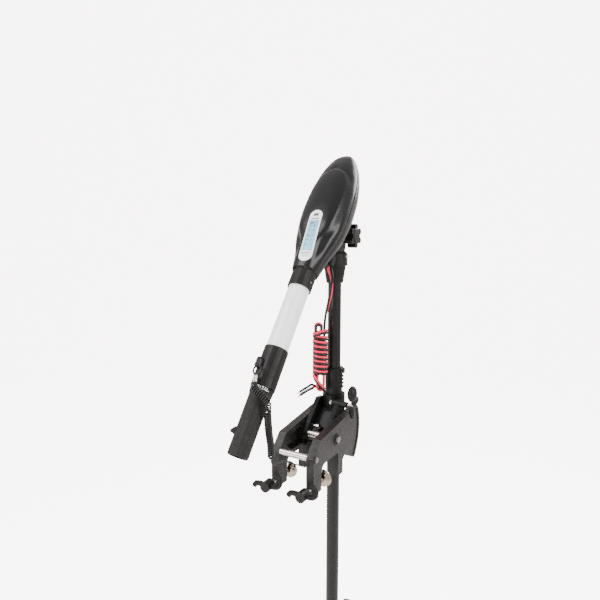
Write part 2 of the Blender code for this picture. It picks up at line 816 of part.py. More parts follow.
def make_propeller():
    at = axes((0, 0, MOTOR_Z), (0, 1, 0))
    low = MOTOR_BACK + 0.0160
    hub = [(0.0063, low + 0.046), (0.0125, low + 0.046), (0.0190, low + 0.034), (0.0215, low), (0.0063, low)]
    propeller = turned("propeller", hub, "black_nylon", at, 24, True)
    fuse(propeller, *[blade(i) for i in range(PROP_BLADES)])
    shaft_end = low + 0.050
    cut(
        propeller,
        rod("hub_bore", (0, low - 0.01, MOTOR_Z), (0, low + 0.06, MOTOR_Z), 0.0063, "black_nylon", 20),
    )
    pin_y = low + 0.010
    cut(
        propeller,
        rod("pin_slot", (-0.016, pin_y, MOTOR_Z), (0.016, pin_y, MOTOR_Z), 0.0023, "black_nylon", 10),
    )
    core = [
        (0, shaft_end),
        (0.006, shaft_end),
        (0.006, 0.150),
        (0.031, 0.150),
        (0.031, 0.074),
        (0.010, 0.074),
        (0.010, 0.056),
        (0.006, 0.056),
        (0.006, 0.0370),
        (0, 0.0370),
    ]
    armature = turned("armature", core, "copper", at, 24)
    cut(armature, rod("pin_hole", (-0.012, pin_y, MOTOR_Z), (0.012, pin_y, MOTOR_Z), 0.0023, "copper", 10))
    pin = rod("drive_pin", (-0.0155, pin_y, MOTOR_Z), (0.0155, pin_y, MOTOR_Z), 0.0020, "steel", 10)
    nut = [(0.0063, low + 0.056), (0.008, low + 0.056), (0.0120, low + 0.0463), (0.0063, low + 0.0463)]
    return [propeller, armature, pin, turned("propeller_nut", nut, "steel", at, 12, True)]


# Head and tiller


def head_half(name, front):
    """One half of the head's casing, split on the plane through the tiller's axis."""
    bm = bmesh.new()
    columns = 12
    way = -1 if front else 1
    rows = []
    for station, half, ahead, behind in HEAD_STATIONS:
        deep = ahead if front else behind
        row = []
        for i in range(columns + 1):
            angle = math.pi * i / columns
            x = half * abs(math.cos(angle)) ** (2 / HEAD_POWER) * (1 if angle < math.pi / 2 else -1)
            y = deep * abs(math.sin(angle)) ** (2 / HEAD_POWER)
            row.append(bm.verts.new((x, way * (y + SEAM), station)))
        rows.append(row)
    tip = bm.verts.new((0, -HEAD_TIP[1] if front else 0.001, HEAD_TIP[0]))
    for a, b in zip(rows, rows[1:]):
        for i in range(columns):
            bm.faces.new((a[i], a[i + 1], b[i + 1], b[i]))
    for i in range(columns):
        bm.faces.new((rows[-1][i], rows[-1][i + 1], tip))
    half = from_bmesh(name, bm, "gloss_black", tiller_axes())
    centre = half.data.polygons[columns // 2]
    shell = half.modifiers.new("Solidify", "SOLIDIFY")
    shell.thickness = SHELL
    shell.offset = -1 if centre.normal.y * way > 0 else 1
    shell.use_even_offset = True
    return half


def make_head():
    front = head_half("head_cover_front", True)
    back = head_half("head_cover_back", False)
    local = tiller_axes().inverted() @ Vector((0, *HEAD_PIVOT))
    ear = [(local.y, local.z)]
    ear = [(0.040, local.z - 0.030), *arc(ear[0], 0.013, -70, 70, 7), (0.040, local.z + 0.026)]
    side_on = tiller_axes() @ axes((0, 0, 0), (1, 0, 0), (0, 1, 0))
    ears = []
    for side in (1, -1):
        middle = side * (EAR_INNER + EAR_OUTER) / 2
        at = side_on @ Matrix.Translation((0, 0, middle))
        ears.append(plate(f"head_ear_{side}", ear, EAR_OUTER - EAR_INNER, "gloss_black", at))
    fuse(back, *ears)
    cut(back, rod("ear_bore", (-0.03, *HEAD_PIVOT), (0.03, *HEAD_PIVOT), 0.0044, "gloss_black", 16))
    top = HEAD_STATIONS[0][0] - GAP
    collar_profile = [(0.0235, top), (0.0235, -COLLAR_END), (0.0207, -COLLAR_END), (0.0207, top)]
    collar = turned("tiller_collar", collar_profile, "black_nylon", tiller_axes(), 28, True)
    screw_down = 0.031
    cut(collar, rod("collar_screw_bore", *screw_ends(screw_down, 0.018, 0.030), 0.0021, "black_nylon", 10))
    screw = rod("collar_screw", *screw_ends(screw_down, 0.0206, 0.0242), 0.0018, "steel", 10)
    board = box("control_board", (-0.027, 0.004, 0.168), (0.027, 0.0056, 0.245), "board_green", tiller_axes())
    label = label_plate()
    return [front, back, collar, screw, board, label]


def screw_ends(down, low, high):
    """Two points on a line out of the tiller's +X side, towards the pilot."""
    out = Vector((math.cos(math.radians(12)), -math.sin(math.radians(12)), 0))
    at = tiller_axes(down)
    return at @ (out * low), at @ (out * high)


def label_plate():
    """The battery gauge's pill-shaped face, just proud of the front cover."""
    half_width, low, high = 0.0130, 0.005, 0.1195
    shape = arc((0, high - half_width), half_width, 0, 180, 8) + arc(
        (0, low + half_width),
        half_width,
        180,
        360,
        8,
    )
    slope = math.atan2(0.0060, high - low)
    face = Matrix.Translation((0, -0.0274, 0)) @ Matrix.Rotation(slope, 4, "X") @ Matrix.Rotation(
        math.pi / 2,
        4,
        "X",
    )
    return plate("battery_gauge", shape, 0.0010, "label_blue", tiller_axes() @ face)


def make_head_clamp():
    y, z = HEAD_PIVOT
    bolt = rod("head_tilt_bolt", (-0.0230, y, z), (0.0300, y, z), 0.0040, "steel", 16)
    head = plate(
        "head_bolt_guide",
        arc((0, 0), 0.0075, 0, 300, 5),
        0.005,
        "steel",
        axes((-0.0182, y, z), (1, 0, 0)),
    )
    fuse(bolt, head)
    profile = [
        (0, 0.0405),
        (0.0140, 0.0405),
        (0.0175, 0.0385),
        (0.0175, 0.0185),
        (0.0100, 0.0157),
        (0.0044, 0.0157),
        (0.0044, 0.0303),
        (0, 0.0303),
    ]
    knob = turned("head_tilt_knob", profile, "black_nylon", axes((0, y, z), (1, 0, 0)), 24)
    lobes = []
    for i in range(6):
        spot = arc((y, z), 0.0188, 30 + 60 * i, 30 + 60 * i, 1)[0]
        lobes.append(rod(f"knob_lobe_{i}", (0.0200, *spot), (0.0390, *spot), 0.0066, "black_nylon", 12))
    fuse(knob, *lobes)
    return bolt, knob


def make_tiller():
    at = tiller_axes()
    top, bottom = GRIP_SLEEVE
    tube_ = sleeve("tiller_tube", TUBE_RADIUS, 0.0183, -TUBE_END, -TUBE_START, "white_tube", at)
    profile = [
        (GRIP_SLEEVE_RADIUS, -top),
        (GRIP_SLEEVE_RADIUS, -bottom),
        (0.0048, -bottom),
        (0.0048, -bottom + 0.006),
        (0.0190, -bottom + 0.010),
        (0.0190, -0.1920),
        (TUBE_RADIUS + GAP, -0.1914),
        (TUBE_RADIUS + GAP, -top),
    ]
    grip_sleeve = turned("throttle_sleeve", profile, "black_nylon", at, 28, True)
    dial = sleeve("throttle_dial", 0.0218, 0.0048, -DIAL[1], -DIAL[0], "black_nylon", at)
    start, end = GRIP
    profile = [(0, -start), (0.0210, -start), (GRIP_RADIUS, -start - 0.008), (GRIP_RADIUS - 0.001, -end)]
    profile += [(0.0135, -end), (0.0125, -end + 0.018), (0, -end + 0.018)]
    grip = turned("throttle_grip", profile, "black_rubber", at, 12)
    fin = [(0.016, 0.006), (0.027, -0.004), (0.0275, -0.0055), (0.024, -0.006), (0.016, -0.005)]
    out = Vector((-0.88, -0.48, 0))
    fin_at = at @ Matrix.Translation((0, 0, -0.330)) @ axes((0, 0, 0), Vector((0, 0, 1)).cross(out), out)
    fuse(grip, plate("grip_fin", [(x, -y) for x, y in fin], 0.006, "black_rubber", fin_at))
    cut(
        grip,
        rod(
            "spindle_bore",
            at @ Vector((0, 0, -start + 0.01)),
            at @ Vector((0, 0, -0.300)),
            0.0043,
            "black_rubber",
            12,
        ),
    )
    spindle = rod(
        "throttle_spindle",
        at @ Vector((0, 0, -0.205)),
        at @ Vector((0, 0, -0.2990)),
        0.0040,
        "steel",
        12,
    )
    return [tube_, grip_sleeve, dial], [grip, spindle]


def make_key():
    """The magnetic safety key on the sleeve, with the curly lanyard that it pulls."""
    seat = tiller_axes(KEY_AT) @ Matrix.Rotation(math.radians(-18), 4, "Z")
    base = GRIP_SLEEVE_RADIUS + GAP
    shape = arc((0, 0.0045), 0.0060, 0, 180, 6) + arc((0, -0.0045), 0.0060, 180, 360, 6)
    at = seat @ Matrix.Translation((0, -base - 0.0047, 0)) @ Matrix.Rotation(math.pi / 2, 4, "X")
    key = plate("safety_key", shape, 0.0090, "black_nylon", at, edge=0.0012)
    coil = tube(
        "lanyard_coil",
        smooth_route([tiller_point(*p) for p in COIL_ROUTE], 0.012),
        0.0060,
        "black_rubber",
        2,
    )
    tail = tube("lanyard_tail", smooth_route(TAIL_ROUTE, 0.006), 0.0013, "black_rubber", 2)
    start, end = tiller_point(-0.004, 0.2290, 0.0290), tiller_point(0.001, 0.2460, 0.0310)
    crimp = rod("lanyard_crimp", start, end, 0.0042, "steel", 12)
    return [key, coil, tail, crimp]


def tiller_point(x, down, front):
    """A world point from its place across, down and in front of the tiller."""
    return tiller_axes(down) @ Vector((x, -front, 0))


# Middle of the curly lanyard: across, down and in front of the tiller's axis
COIL_ROUTE = (
    (0.002, 0.2500, 0.0310),
    (0.007, 0.2600, 0.0300),
    (0.019, 0.2670, 0.0250),
    (0.029, 0.2760, 0.0140),
    (0.029, 0.2920, 0.0010),
    (0.023, 0.3110, -0.0290),
    (0.020, 0.3310, -0.0575),
    (0.017, 0.3470, -0.0750),
)
# The lanyard's plain end, which lies in a slack curve towards the bracket
TAIL_ROUTE = (
    (0.0165, -0.1742, 0.0505),
    (0.0150, -0.1640, 0.0420),
    (0.0100, -0.1450, 0.0370),
    (0.0080, -0.1250, 0.0310),
    (0.0120, -0.1080, 0.0240),
    (0.0210, -0.0970, 0.0170),
    (0.0300, -0.0910, 0.0145),
    (0.0370, -0.0895, 0.0165),
)


# Battery lead

# Middle of the twin lead from its gland to the hank
LEAD_ROUTE = (
    (0.0081, 0.0617, 0.3790),
    (0.0092, 0.0588, 0.3735),
    (0.0122, 0.0576, 0.3675),
    (0.0145, 0.0575, 0.3590),
    (0.0140, 0.0585, 0.3430),
    (0.0105, 0.0605, 0.3250),
    (0.0050, 0.0620, 0.3030),
    (-0.0015, 0.0632, 0.2800),
    (-0.0075, 0.0640, 0.2610),
)
# Middle of the two bare ends that leave the hank's foot
ENDS_ROUTE = (
    (-0.0300, 0.0540, 0.1200),
    (-0.0380, 0.0510, 0.1150),
    (-0.0480, 0.0480, 0.1080),
    (-0.0580, 0.0460, 0.1000),
)


def make_lead():
    across = Vector((math.cos(HANK_TURN), math.sin(HANK_TURN), 0))
    wires = []
    for word, side in (("red", -1), ("black", 1)):
        finish = "lead_red" if word == "red" else "black_rubber"
        shift = across * side * LEAD_SPREAD
        route = smooth_route([Vector(p) + shift for p in LEAD_ROUTE], 0.012)
        wires.append(tube(f"battery_lead_{word}", route, LEAD_RADIUS, finish, 2))
        lift = Vector((0, 0, side * LEAD_SPREAD * 1.45))
        route = smooth_route([Vector(p) + lift for p in ENDS_ROUTE], 0.010)
        wires.append(tube(f"battery_end_{word}", route, LEAD_RADIUS, finish, 2))
    outline = [
        *arc((0, 0.2480), 0.0095, 0, 180, 5),
        (-0.0110, 0.2360),
        (-0.0165, 0.2300),
        (-0.0165, 0.1400),
        (-0.0120, 0.1150),
        *arc((0, 0.1110), 0.0075, 180, 360, 4),
        (0.0120, 0.1150),
        (0.0165, 0.1400),
        (0.0165, 0.2300),
        (0.0110, 0.2360),
    ]
    facing = Vector((math.sin(HANK_TURN), -math.cos(HANK_TURN), 0))
    hank_at = axes(HANK_AT, facing, across)
    hank = plate("battery_lead_hank", outline, 2 * HANK_HALF_THICK, "lead_red", hank_at)
    bevel(hank, 0.005, 2, 60)
    return [*wires, hank]


def assemble():
    """Builds every piece and hangs it from its joint."""
    make_bracket()
    for side in (1, -1):
        make_clamp(side)
    carriage = make_carriage()
    tilt = joint("tilt", (0, *TILT_PIVOT), carriage)
    joint("tension_turn", (0, CLAMP_Y, CLAMP_Z), [make_tension_knob()], tilt)
    joint("tilt_lock", (0, *lock_hole(LOCK_ANGLE)), [make_lock_plunger()], tilt)
    turning, depth_knob = make_steering()
    steering = joint("steering", (0, SHAFT_Y, RING_HIGH), turning, tilt)
    joint("depth_knob_turn", (0, SHAFT_Y, DEPTH_KNOB_Z), [depth_knob], steering)
    depth = joint("depth", (0, SHAFT_Y, COLLAR_HIGH), [*make_neck(), *make_motor(), *make_lead()], steering)
    joint("propeller_turn", (0, MOTOR_BACK, MOTOR_Z), make_propeller(), depth)
    bolt, knob = make_head_clamp()
    head = joint("head_tilt", (0, *HEAD_PIVOT), [*make_head(), bolt], depth)
    joint("head_knob_turn", (0, *HEAD_PIVOT), [knob], head)
    sliding, twisting = make_tiller()
    extension = joint("tiller_extension", TILLER_START, sliding, head)
    joint("throttle", TILLER_START, twisting, extension)
    joint("key_release", tiller_axes(KEY_AT).translation, make_key(), extension)


clear_scene()
MOTOR = new_collection("trolling_motor")
CUTTERS = new_collection("cutters")
assemble()
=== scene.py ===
"""Looks of the trolling motor: materials, cords, detailed pieces, camera and a pale studio."""

import json
import math

import bmesh
import bpy
import numpy as np
from mathutils import Matrix, Vector


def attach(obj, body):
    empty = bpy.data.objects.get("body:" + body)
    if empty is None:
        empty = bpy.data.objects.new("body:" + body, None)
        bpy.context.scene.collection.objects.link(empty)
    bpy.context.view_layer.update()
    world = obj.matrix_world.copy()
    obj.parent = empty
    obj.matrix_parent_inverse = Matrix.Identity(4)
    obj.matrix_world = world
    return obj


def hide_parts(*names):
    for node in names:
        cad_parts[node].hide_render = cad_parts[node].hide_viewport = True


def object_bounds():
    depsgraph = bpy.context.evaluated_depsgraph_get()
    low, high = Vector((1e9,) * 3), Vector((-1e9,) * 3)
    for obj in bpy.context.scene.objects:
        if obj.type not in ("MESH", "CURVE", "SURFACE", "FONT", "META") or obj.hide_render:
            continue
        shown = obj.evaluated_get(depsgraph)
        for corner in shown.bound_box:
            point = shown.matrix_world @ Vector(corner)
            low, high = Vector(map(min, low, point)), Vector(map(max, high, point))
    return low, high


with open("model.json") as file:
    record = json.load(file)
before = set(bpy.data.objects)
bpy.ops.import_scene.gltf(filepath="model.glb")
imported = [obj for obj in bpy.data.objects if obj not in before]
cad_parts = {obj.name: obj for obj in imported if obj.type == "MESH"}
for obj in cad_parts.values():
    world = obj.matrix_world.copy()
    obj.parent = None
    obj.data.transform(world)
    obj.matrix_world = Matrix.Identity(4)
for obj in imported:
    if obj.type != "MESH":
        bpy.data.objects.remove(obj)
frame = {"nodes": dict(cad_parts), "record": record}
CAD_BOX = [list(map(float, corner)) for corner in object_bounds()]

TILLER_ANGLE = math.radians(52.4)
TILLER_START = Vector((0, -0.023, 0.378))


# Camera and studio


def make_camera():
    data = bpy.data.cameras.new("camera")
    data.lens = 31.52
    data.sensor_width = 36
    camera = bpy.data.objects.new("camera", data)
    bpy.context.scene.collection.objects.link(camera)
    right = Vector((0.8613, 0.5081, 0.0)).normalized()
    back = Vector((0.5038, -0.8539, 0.1302)).normalized()
    up = back.cross(right).normalized()
    turn = Matrix((right, up, back)).transposed().to_4x4()
    camera.matrix_world = Matrix.Translation((0.5050, -0.9022, 0.4526)) @ turn
    bpy.context.scene.camera = camera


def area_light(name, place, target, size, power, colour=(1, 1, 1)):
    data = bpy.data.lights.new(name, "AREA")
    data.shape = "RECTANGLE"
    data.size, data.size_y = size
    data.energy = power
    data.color = colour
    light = bpy.data.objects.new(name, data)
    bpy.context.scene.collection.objects.link(light)
    light.location = place
    light.rotation_euler = (Vector(target) - Vector(place)).to_track_quat("-Z", "Y").to_euler()


def make_studio():
    world = bpy.data.worlds.new("studio")
    bpy.context.scene.world = world
    world.use_nodes = True
    sky = world.node_tree.nodes["Background"]
    sky.inputs["Color"].default_value = (0.97, 0.955, 0.95, 1)
    sky.inputs["Strength"].default_value = 1.35
    mesh = bpy.data.meshes.new("floor")
    floor_z = CAD_BOX[0][2] - 0.002
    rows = []
    for y, z in [(-9, 0)] + [
        (3.0 + 2.5 * math.sin(a), 2.5 - 2.5 * math.cos(a)) for a in np.linspace(0, math.pi / 2, 13)
    ] + [(5.5, 7)]:
        rows.append([(x, y, floor_z + z) for x in (-9, 9)])
    faces = [(2 * i, 2 * i + 1, 2 * i + 3, 2 * i + 2) for i in range(len(rows) - 1)]
    mesh.from_pydata([p for row in rows for p in row], [], faces)
    mesh.shade_smooth()
    floor = bpy.data.objects.new("floor", mesh)
    # The sweep faces the camera, so its curved wall stands behind the motor.
    floor.rotation_euler = (0, 0, math.radians(30.5))
    bpy.context.scene.collection.objects.link(floor)
    paper = bpy.data.materials.new("paper")
    paper.use_nodes = True
    shader = paper.node_tree.nodes["Principled BSDF"]
    shader.inputs["Base Color"].default_value = (0.90, 0.875, 0.865, 1)
    shader.inputs["Roughness"].default_value = 0.95
    shader.inputs["Specular IOR Level"].default_value = 0.1
    # The paper looks as bright as an overexposed studio ground, yet lights the motor only softly.
    nodes, links = paper.node_tree.nodes, paper.node_tree.links
    seen = nodes.new("ShaderNodeLightPath")
    glow = nodes.new("ShaderNodeMath")
    glow.operation = "MULTIPLY"
    glow.inputs[1].default_value = 6.4
    links.new(seen.outputs["Is Camera Ray"], glow.inputs[0])
    links.new(glow.outputs[0], shader.inputs["Emission Strength"])
    shader.inputs["Emission Color"].default_value = (1.0, 0.925, 0.905, 1)
    mesh.materials.append(paper)
    area_light("key", (-0.9, -1.3, 1.7), (0, 0.05, 0.3), (1.1, 1.3), 52)
    area_light("side", (1.6, -0.2, 1.0), (0, 0.05, 0.25), (0.6, 1.6), 34)
    area_light("rim", (0.5, 1.5, 1.3), (0, 0.1, 0.3), (0.9, 1.2), 34)
    area_light("low", (-0.4, -1.4, -0.2), (0, 0.05, -0.3), (1.0, 0.8), 14)


# Materials


class Nodes:
    """Short forms for building a material's node tree."""

    def __init__(self, name):
        self.material = bpy.data.materials.new(name)
        self.material.use_nodes = True
        self.tree = self.material.node_tree
        self.shader = self.tree.nodes["Principled BSDF"]
        self.place = self.add("ShaderNodeTexCoord").outputs["Object"]

    def add(self, kind, **settings):
        node = self.tree.nodes.new(kind)
        for key, value in settings.items():
            setattr(node, key, value)
        return node

    def link(self, source, target):
        self.tree.links.new(source, target)

    def set(self, **values):
        for key, value in values.items():
            self.shader.inputs[key.replace("_", " ")].default_value = value

    def noise(self, scale, detail=3.0, rough=0.55, stretch=None):
        node = self.add("ShaderNodeTexNoise")
        node.inputs["Scale"].default_value = scale
        node.inputs["Detail"].default_value = detail
        node.inputs["Roughness"].default_value = rough
        source = self.place
        if stretch:
            mapping = self.add("ShaderNodeMapping")
            mapping.inputs["Scale"].default_value = stretch
            self.link(self.place, mapping.inputs["Vector"])
            source = mapping.outputs["Vector"]
        self.link(source, node.inputs["Vector"])
        return node.outputs["Fac"]

    def spread(self, source, low, high, start=0.0, end=1.0):
        node = self.add("ShaderNodeMapRange")
        node.inputs["From Min"].default_value = start
        node.inputs["From Max"].default_value = end
        node.inputs["To Min"].default_value = low
        node.inputs["To Max"].default_value = high
        self.link(source, node.inputs["Value"])
        return node.outputs["Result"]

    def mix(self, factor, a, b):
        node = self.add("ShaderNodeMix", data_type="RGBA")
        for socket, value in ((node.inputs[6], a), (node.inputs[7], b)):
            if isinstance(value, tuple):
                socket.default_value = (*value, 1)
            else:
                self.link(value, socket)
        if isinstance(factor, float):
            node.inputs[0].default_value = factor
        else:
            self.link(factor, node.inputs[0])
        return node.outputs[2]

    def math(self, operation, a, b=None):
        node = self.add("ShaderNodeMath", operation=operation)
        for socket, value in zip(node.inputs, (a, b)):
            if value is None:
                continue
            if isinstance(value, (int, float)):
                socket.default_value = value
            else:
                self.link(value, socket)
        return node.outputs[0]

    def along(self, direction, offset=0.0):
        """How far each point lies in this direction, in metres."""
        node = self.add("ShaderNodeVectorMath", operation="DOT_PRODUCT")
        self.link(self.place, node.inputs[0])
        node.inputs[1].default_value = direction
        return self.math("ADD", node.outputs["Value"], offset)

    def edges(self, radius=0.0012):
        """Near 1 along convex edges, from the bevelled normal against the true one."""
        bevel = self.add("ShaderNodeBevel", samples=4)
        bevel.inputs["Radius"].default_value = radius
        geometry = self.add("ShaderNodeNewGeometry")
        dot = self.add("ShaderNodeVectorMath", operation="DOT_PRODUCT")
        self.link(bevel.outputs["Normal"], dot.inputs[0])
        self.link(geometry.outputs["Normal"], dot.inputs[1])
        return self.spread(dot.outputs["Value"], 1.0, 0.0, 0.75, 0.995)

    def bump(self, height, strength, distance=0.0005, normal=None):
        node = self.add("ShaderNodeBump")
        node.inputs["Strength"].default_value = strength
        node.inputs["Distance"].default_value = distance
        self.link(height, node.inputs["Height"])
        if normal is not None:
            self.link(normal, node.inputs["Normal"])
        self.link(node.outputs["Normal"], self.shader.inputs["Normal"])
        return node.outputs["Normal"]

    def colour(self, source):
        self.link(source, self.shader.inputs["Base Color"])

    def roughness(self, source):
        self.link(source, self.shader.inputs["Roughness"])


def moulded(name, base, light, rough=(0.34, 0.52), grain=2200, strength=0.10, coat=0.0):
    """Moulded plastic: a fine leathery grain, faint cloudy tone and paler handled edges."""
    n = Nodes(name)
    cloud = n.noise(38, 4)
    tone = n.mix(n.spread(cloud, 0.0, 1.0, 0.35, 0.7), base, light)
    worn = n.mix(n.math("MULTIPLY", n.edges(), 0.35), tone, tuple(min(1, c * 3.2 + 0.012) for c in light))
    n.colour(worn)
    n.roughness(n.spread(n.noise(90, 5, 0.6), *rough, 0.3, 0.7))
    n.bump(n.noise(grain, 2), strength, 0.0002)
    n.set(Coat_Weight=coat, Coat_Roughness=0.12, Specular_IOR_Level=0.16)
    return n.material


def cast_paint(name):
    """Powder-coated casting: orange-peel bump and rubbed edges that show grey."""
    n = Nodes(name)
    tone = n.mix(
        n.spread(n.noise(26, 5), 0.0, 1.0, 0.35, 0.68), (0.0085, 0.0075, 0.0070), (0.0150, 0.0130, 0.0118)
    )
    rub = n.math("MULTIPLY", n.edges(0.0010), n.spread(n.noise(60, 4), 0.15, 0.75, 0.35, 0.65))
    n.colour(n.mix(rub, tone, (0.055, 0.050, 0.046)))
    n.roughness(n.spread(n.noise(120, 4), 0.30, 0.46, 0.3, 0.7))
    peel = n.bump(n.noise(520, 3), 0.22, 0.0004)
    n.bump(n.noise(2600, 2), 0.10, 0.0002, peel)
    n.set(Specular_IOR_Level=0.18)
    return n.material


def gloss_shell(name):
    """High-gloss black: a clear coat over black, with the slightest waviness and dust."""
    n = Nodes(name)
    dust = n.spread(n.noise(900, 6, 0.7), 0.0, 0.10, 0.62, 0.80)
    n.colour(n.mix(dust, (0.0030, 0.0027, 0.0026), (0.03, 0.03, 0.03)))
    n.roughness(n.spread(n.noise(14, 4), 0.23, 0.31, 0.35, 0.7))
    n.bump(n.noise(45, 2), 0.05, 0.0006)
    n.set(Coat_Weight=0.03, Coat_Roughness=0.14, Specular_IOR_Level=0.24)
    return n.material


def metal(name, base, dark, rough=(0.14, 0.30), stretch=(1, 1, 1), tarnish=0.35):
    """Bright metal with drawn or turned lines and a little tarnish in patches."""
    n = Nodes(name)
    lines = n.noise(700, 3, 0.6, stretch)
    patch = n.spread(n.noise(55, 5, 0.65), 0.0, tarnish, 0.45, 0.75)
    n.colour(n.mix(patch, base, dark))
    n.roughness(n.spread(lines, *rough, 0.3, 0.7))
    n.bump(lines, 0.06, 0.0001)
    n.set(Metallic=1.0)
    return n.material


def wire_jacket(name, base, light):
    """Soft shiny cable sheath."""
    n = Nodes(name)
    n.colour(n.mix(n.spread(n.noise(140, 4), 0.0, 1.0, 0.35, 0.7), base, light))
    n.roughness(n.spread(n.noise(260, 3), 0.26, 0.42, 0.3, 0.7))
    n.bump(n.noise(1500, 2), 0.06, 0.0001)
    n.set(Specular_IOR_Level=0.30, Subsurface_Weight=0.0)
    return n.material


def rubber_grip(name):
    """Dark rubber with rows of small raised diamonds round the tiller's axis, and ribs; its colour is lighter
    on their crests and darker between them.
    """
    n = Nodes(name)
    up = Vector((0, math.cos(TILLER_ANGLE), math.sin(TILLER_ANGLE)))
    front = Vector((0, -math.sin(TILLER_ANGLE), math.cos(TILLER_ANGLE)))
    x = n.along((1, 0, 0))
    y = n.along(tuple(front), -TILLER_START.dot(front))
    z = n.along(tuple(up), -TILLER_START.dot(up))
    angle = n.math("ARCTAN2", x, y)
    a = n.math("SINE", n.math("ADD", n.math("MULTIPLY", angle, 18), n.math("MULTIPLY", z, 1500)))
    b = n.math("SINE", n.math("SUBTRACT", n.math("MULTIPLY", angle, 18), n.math("MULTIPLY", z, 1500)))
    diamonds = n.math("MULTIPLY", n.math("ABSOLUTE", a), n.math("ABSOLUTE", b))
    ribs = n.math("POWER", n.math("ABSOLUTE", n.math("SINE", n.math("MULTIPLY", angle, 6))), 0.35)
    height = n.math("ADD", n.math("MULTIPLY", diamonds, 0.5), n.math("MULTIPLY", ribs, 0.5))
    n.colour(
        n.mix(n.spread(height, 0.0, 1.0, 0.25, 0.95), (0.0030, 0.0028, 0.0026), (0.0125, 0.0118, 0.0112))
    )
    n.roughness(n.spread(n.noise(120, 4), 0.50, 0.72, 0.3, 0.7))
    n.bump(height, 0.55, 0.0009)
    n.set(Specular_IOR_Level=0.25)
    return n.material


def enamel_white(name):
    """White-coated tube: faint grey scuffs that run along it."""
    n = Nodes(name)
    scuff = n.spread(n.noise(120, 5, 0.65, (1.0, 0.35, 0.35)), 0.0, 0.55, 0.60, 0.85)
    n.colour(n.mix(scuff, (0.86, 0.865, 0.85), (0.60, 0.60, 0.585)))
    n.roughness(n.spread(n.noise(70, 4), 0.24, 0.42, 0.3, 0.7))
    n.bump(n.noise(380, 3), 0.05, 0.0003)
    n.set(Coat_Weight=0.25, Coat_Roughness=0.1)
    return n.material


def wound_copper(name):
    """Copper windings: fine parallel strands between dark laminations."""
    n = Nodes(name)
    strand = n.add("ShaderNodeTexWave", wave_type="BANDS", bands_direction="Y")
    strand.inputs["Scale"].default_value = 260
    n.link(n.place, strand.inputs["Vector"])
    n.colour(n.mix(strand.outputs["Fac"], (0.20, 0.07, 0.03), (0.78, 0.36, 0.18)))
    n.bump(strand.outputs["Fac"], 0.4, 0.0004)
    n.set(Metallic=1.0, Roughness=0.38)
    return n.material


def circuit_board(name):
    """Green solder mask with paler tracks and pads."""
    n = Nodes(name)
    brick = n.add("ShaderNodeTexBrick")
    brick.inputs["Scale"].default_value = 130
    brick.inputs["Mortar Size"].default_value = 0.03
    n.link(n.place, brick.inputs["Vector"])
    n.colour(n.mix(brick.outputs["Fac"], (0.012, 0.10, 0.035), (0.08, 0.32, 0.10)))
    n.bump(brick.outputs["Fac"], 0.3, 0.0002)
    n.set(Roughness=0.4)
    return n.material


def ferrite_magnet(name):
    n = Nodes(name)
    n.colour(n.mix(n.noise(240, 5), (0.045, 0.045, 0.05), (0.11, 0.11, 0.12)))
    n.bump(n.noise(900, 3), 0.25, 0.0003)
    n.set(Roughness=0.62, Metallic=0.2)
    return n.material


def tyre_rubber(name):
    n = Nodes(name)
    n.colour(
        n.mix(
            n.spread(n.noise(80, 4), 0.0, 1.0, 0.3, 0.7), (0.0045, 0.0042, 0.0040), (0.0100, 0.0094, 0.0090)
        )
    )
    n.roughness(n.spread(n.noise(120, 4), 0.50, 0.70, 0.3, 0.7))
    n.bump(n.noise(1800, 2), 0.15, 0.0002)
    n.set(Specular_IOR_Level=0.25)
    return n.material


M = {
    "black_nylon": moulded("nylon", (0.0055, 0.0050, 0.0047), (0.0095, 0.0086, 0.0080)),
    "gloss_black": gloss_shell("gloss_shell"),
    "pod_paint": moulded(
        "pod_enamel", (0.0050, 0.0046, 0.0044), (0.0080, 0.0074, 0.0070), (0.22, 0.34), 700, 0.08, 0.3
    ),
    "black_rubber": tyre_rubber("soft_rubber"),
    "cast_alloy": cast_paint("cast_paint"),
    "white_tube": enamel_white("tube_enamel"),
    "steel": metal("bright_steel", (0.44, 0.40, 0.37), (0.22, 0.19, 0.16)),
    "copper": wound_copper("windings"),
    "ferrite": ferrite_magnet("ferrite"),
    "board_green": circuit_board("board"),
    "lead_red": wire_jacket("red_jacket", (0.62, 0.014, 0.050), (0.74, 0.035, 0.085)),
    "lead_black": wire_jacket("black_jacket", (0.0045, 0.0042, 0.0040), (0.0080, 0.0075, 0.0072)),
    "grip": rubber_grip("grip_rubber"),
    "pad": metal("pad_chrome", (0.40, 0.33, 0.26), (0.20, 0.155, 0.115), (0.08, 0.20)),
    "bolt": metal("dull_bolt", (0.20, 0.18, 0.17), (0.09, 0.08, 0.07)),
    # A darker copy of the nylon: painted shade for the parts inside the bracket.
    "inside": moulded(
        "painted_shade_nylon", (0.0016, 0.0015, 0.0014), (0.0030, 0.0028, 0.0026), (0.5, 0.7), 500, 0.05, 0.08
    ),
    "tin": metal("tinned_strands", (0.78, 0.76, 0.72), (0.5, 0.48, 0.44), (0.2, 0.35)),
    "shaft": moulded(
        "shaft_composite", (0.0052, 0.0048, 0.0045), (0.0085, 0.0078, 0.0073), (0.24, 0.36), 900, 0.05, 0.15
    ),
}


def dress_frame():
    """Gives each carried-over CAD node the procedural material of its slot."""
    slots = {row["node"]: row["material_slot"] for row in frame["record"]["subparts"]}
    special = {
        "throttle_grip": "grip",
        "shaft_tube": "shaft",
        "clamp_pad_right": "pad",
        "clamp_pad_left": "pad",
        "tilt_pivot_bolt": "bolt",
        "front_tie_bolt": "bolt",
        # These parts inside the bracket take the darker nylon, which is painted shade.
        "tilt_carriage": "inside",
        "steering_bush": "inside",
        "rear_web": "inside",
    }
    for name, node in frame["nodes"].items():
        slot = special.get(name) or slots[name]
        if slot in M:
            for i in range(max(1, len(node.material_slots))):
                if not node.material_slots:
                    node.data.materials.append(M[slot])
                node.material_slots[i].material = M[slot]


# Mesh helpers


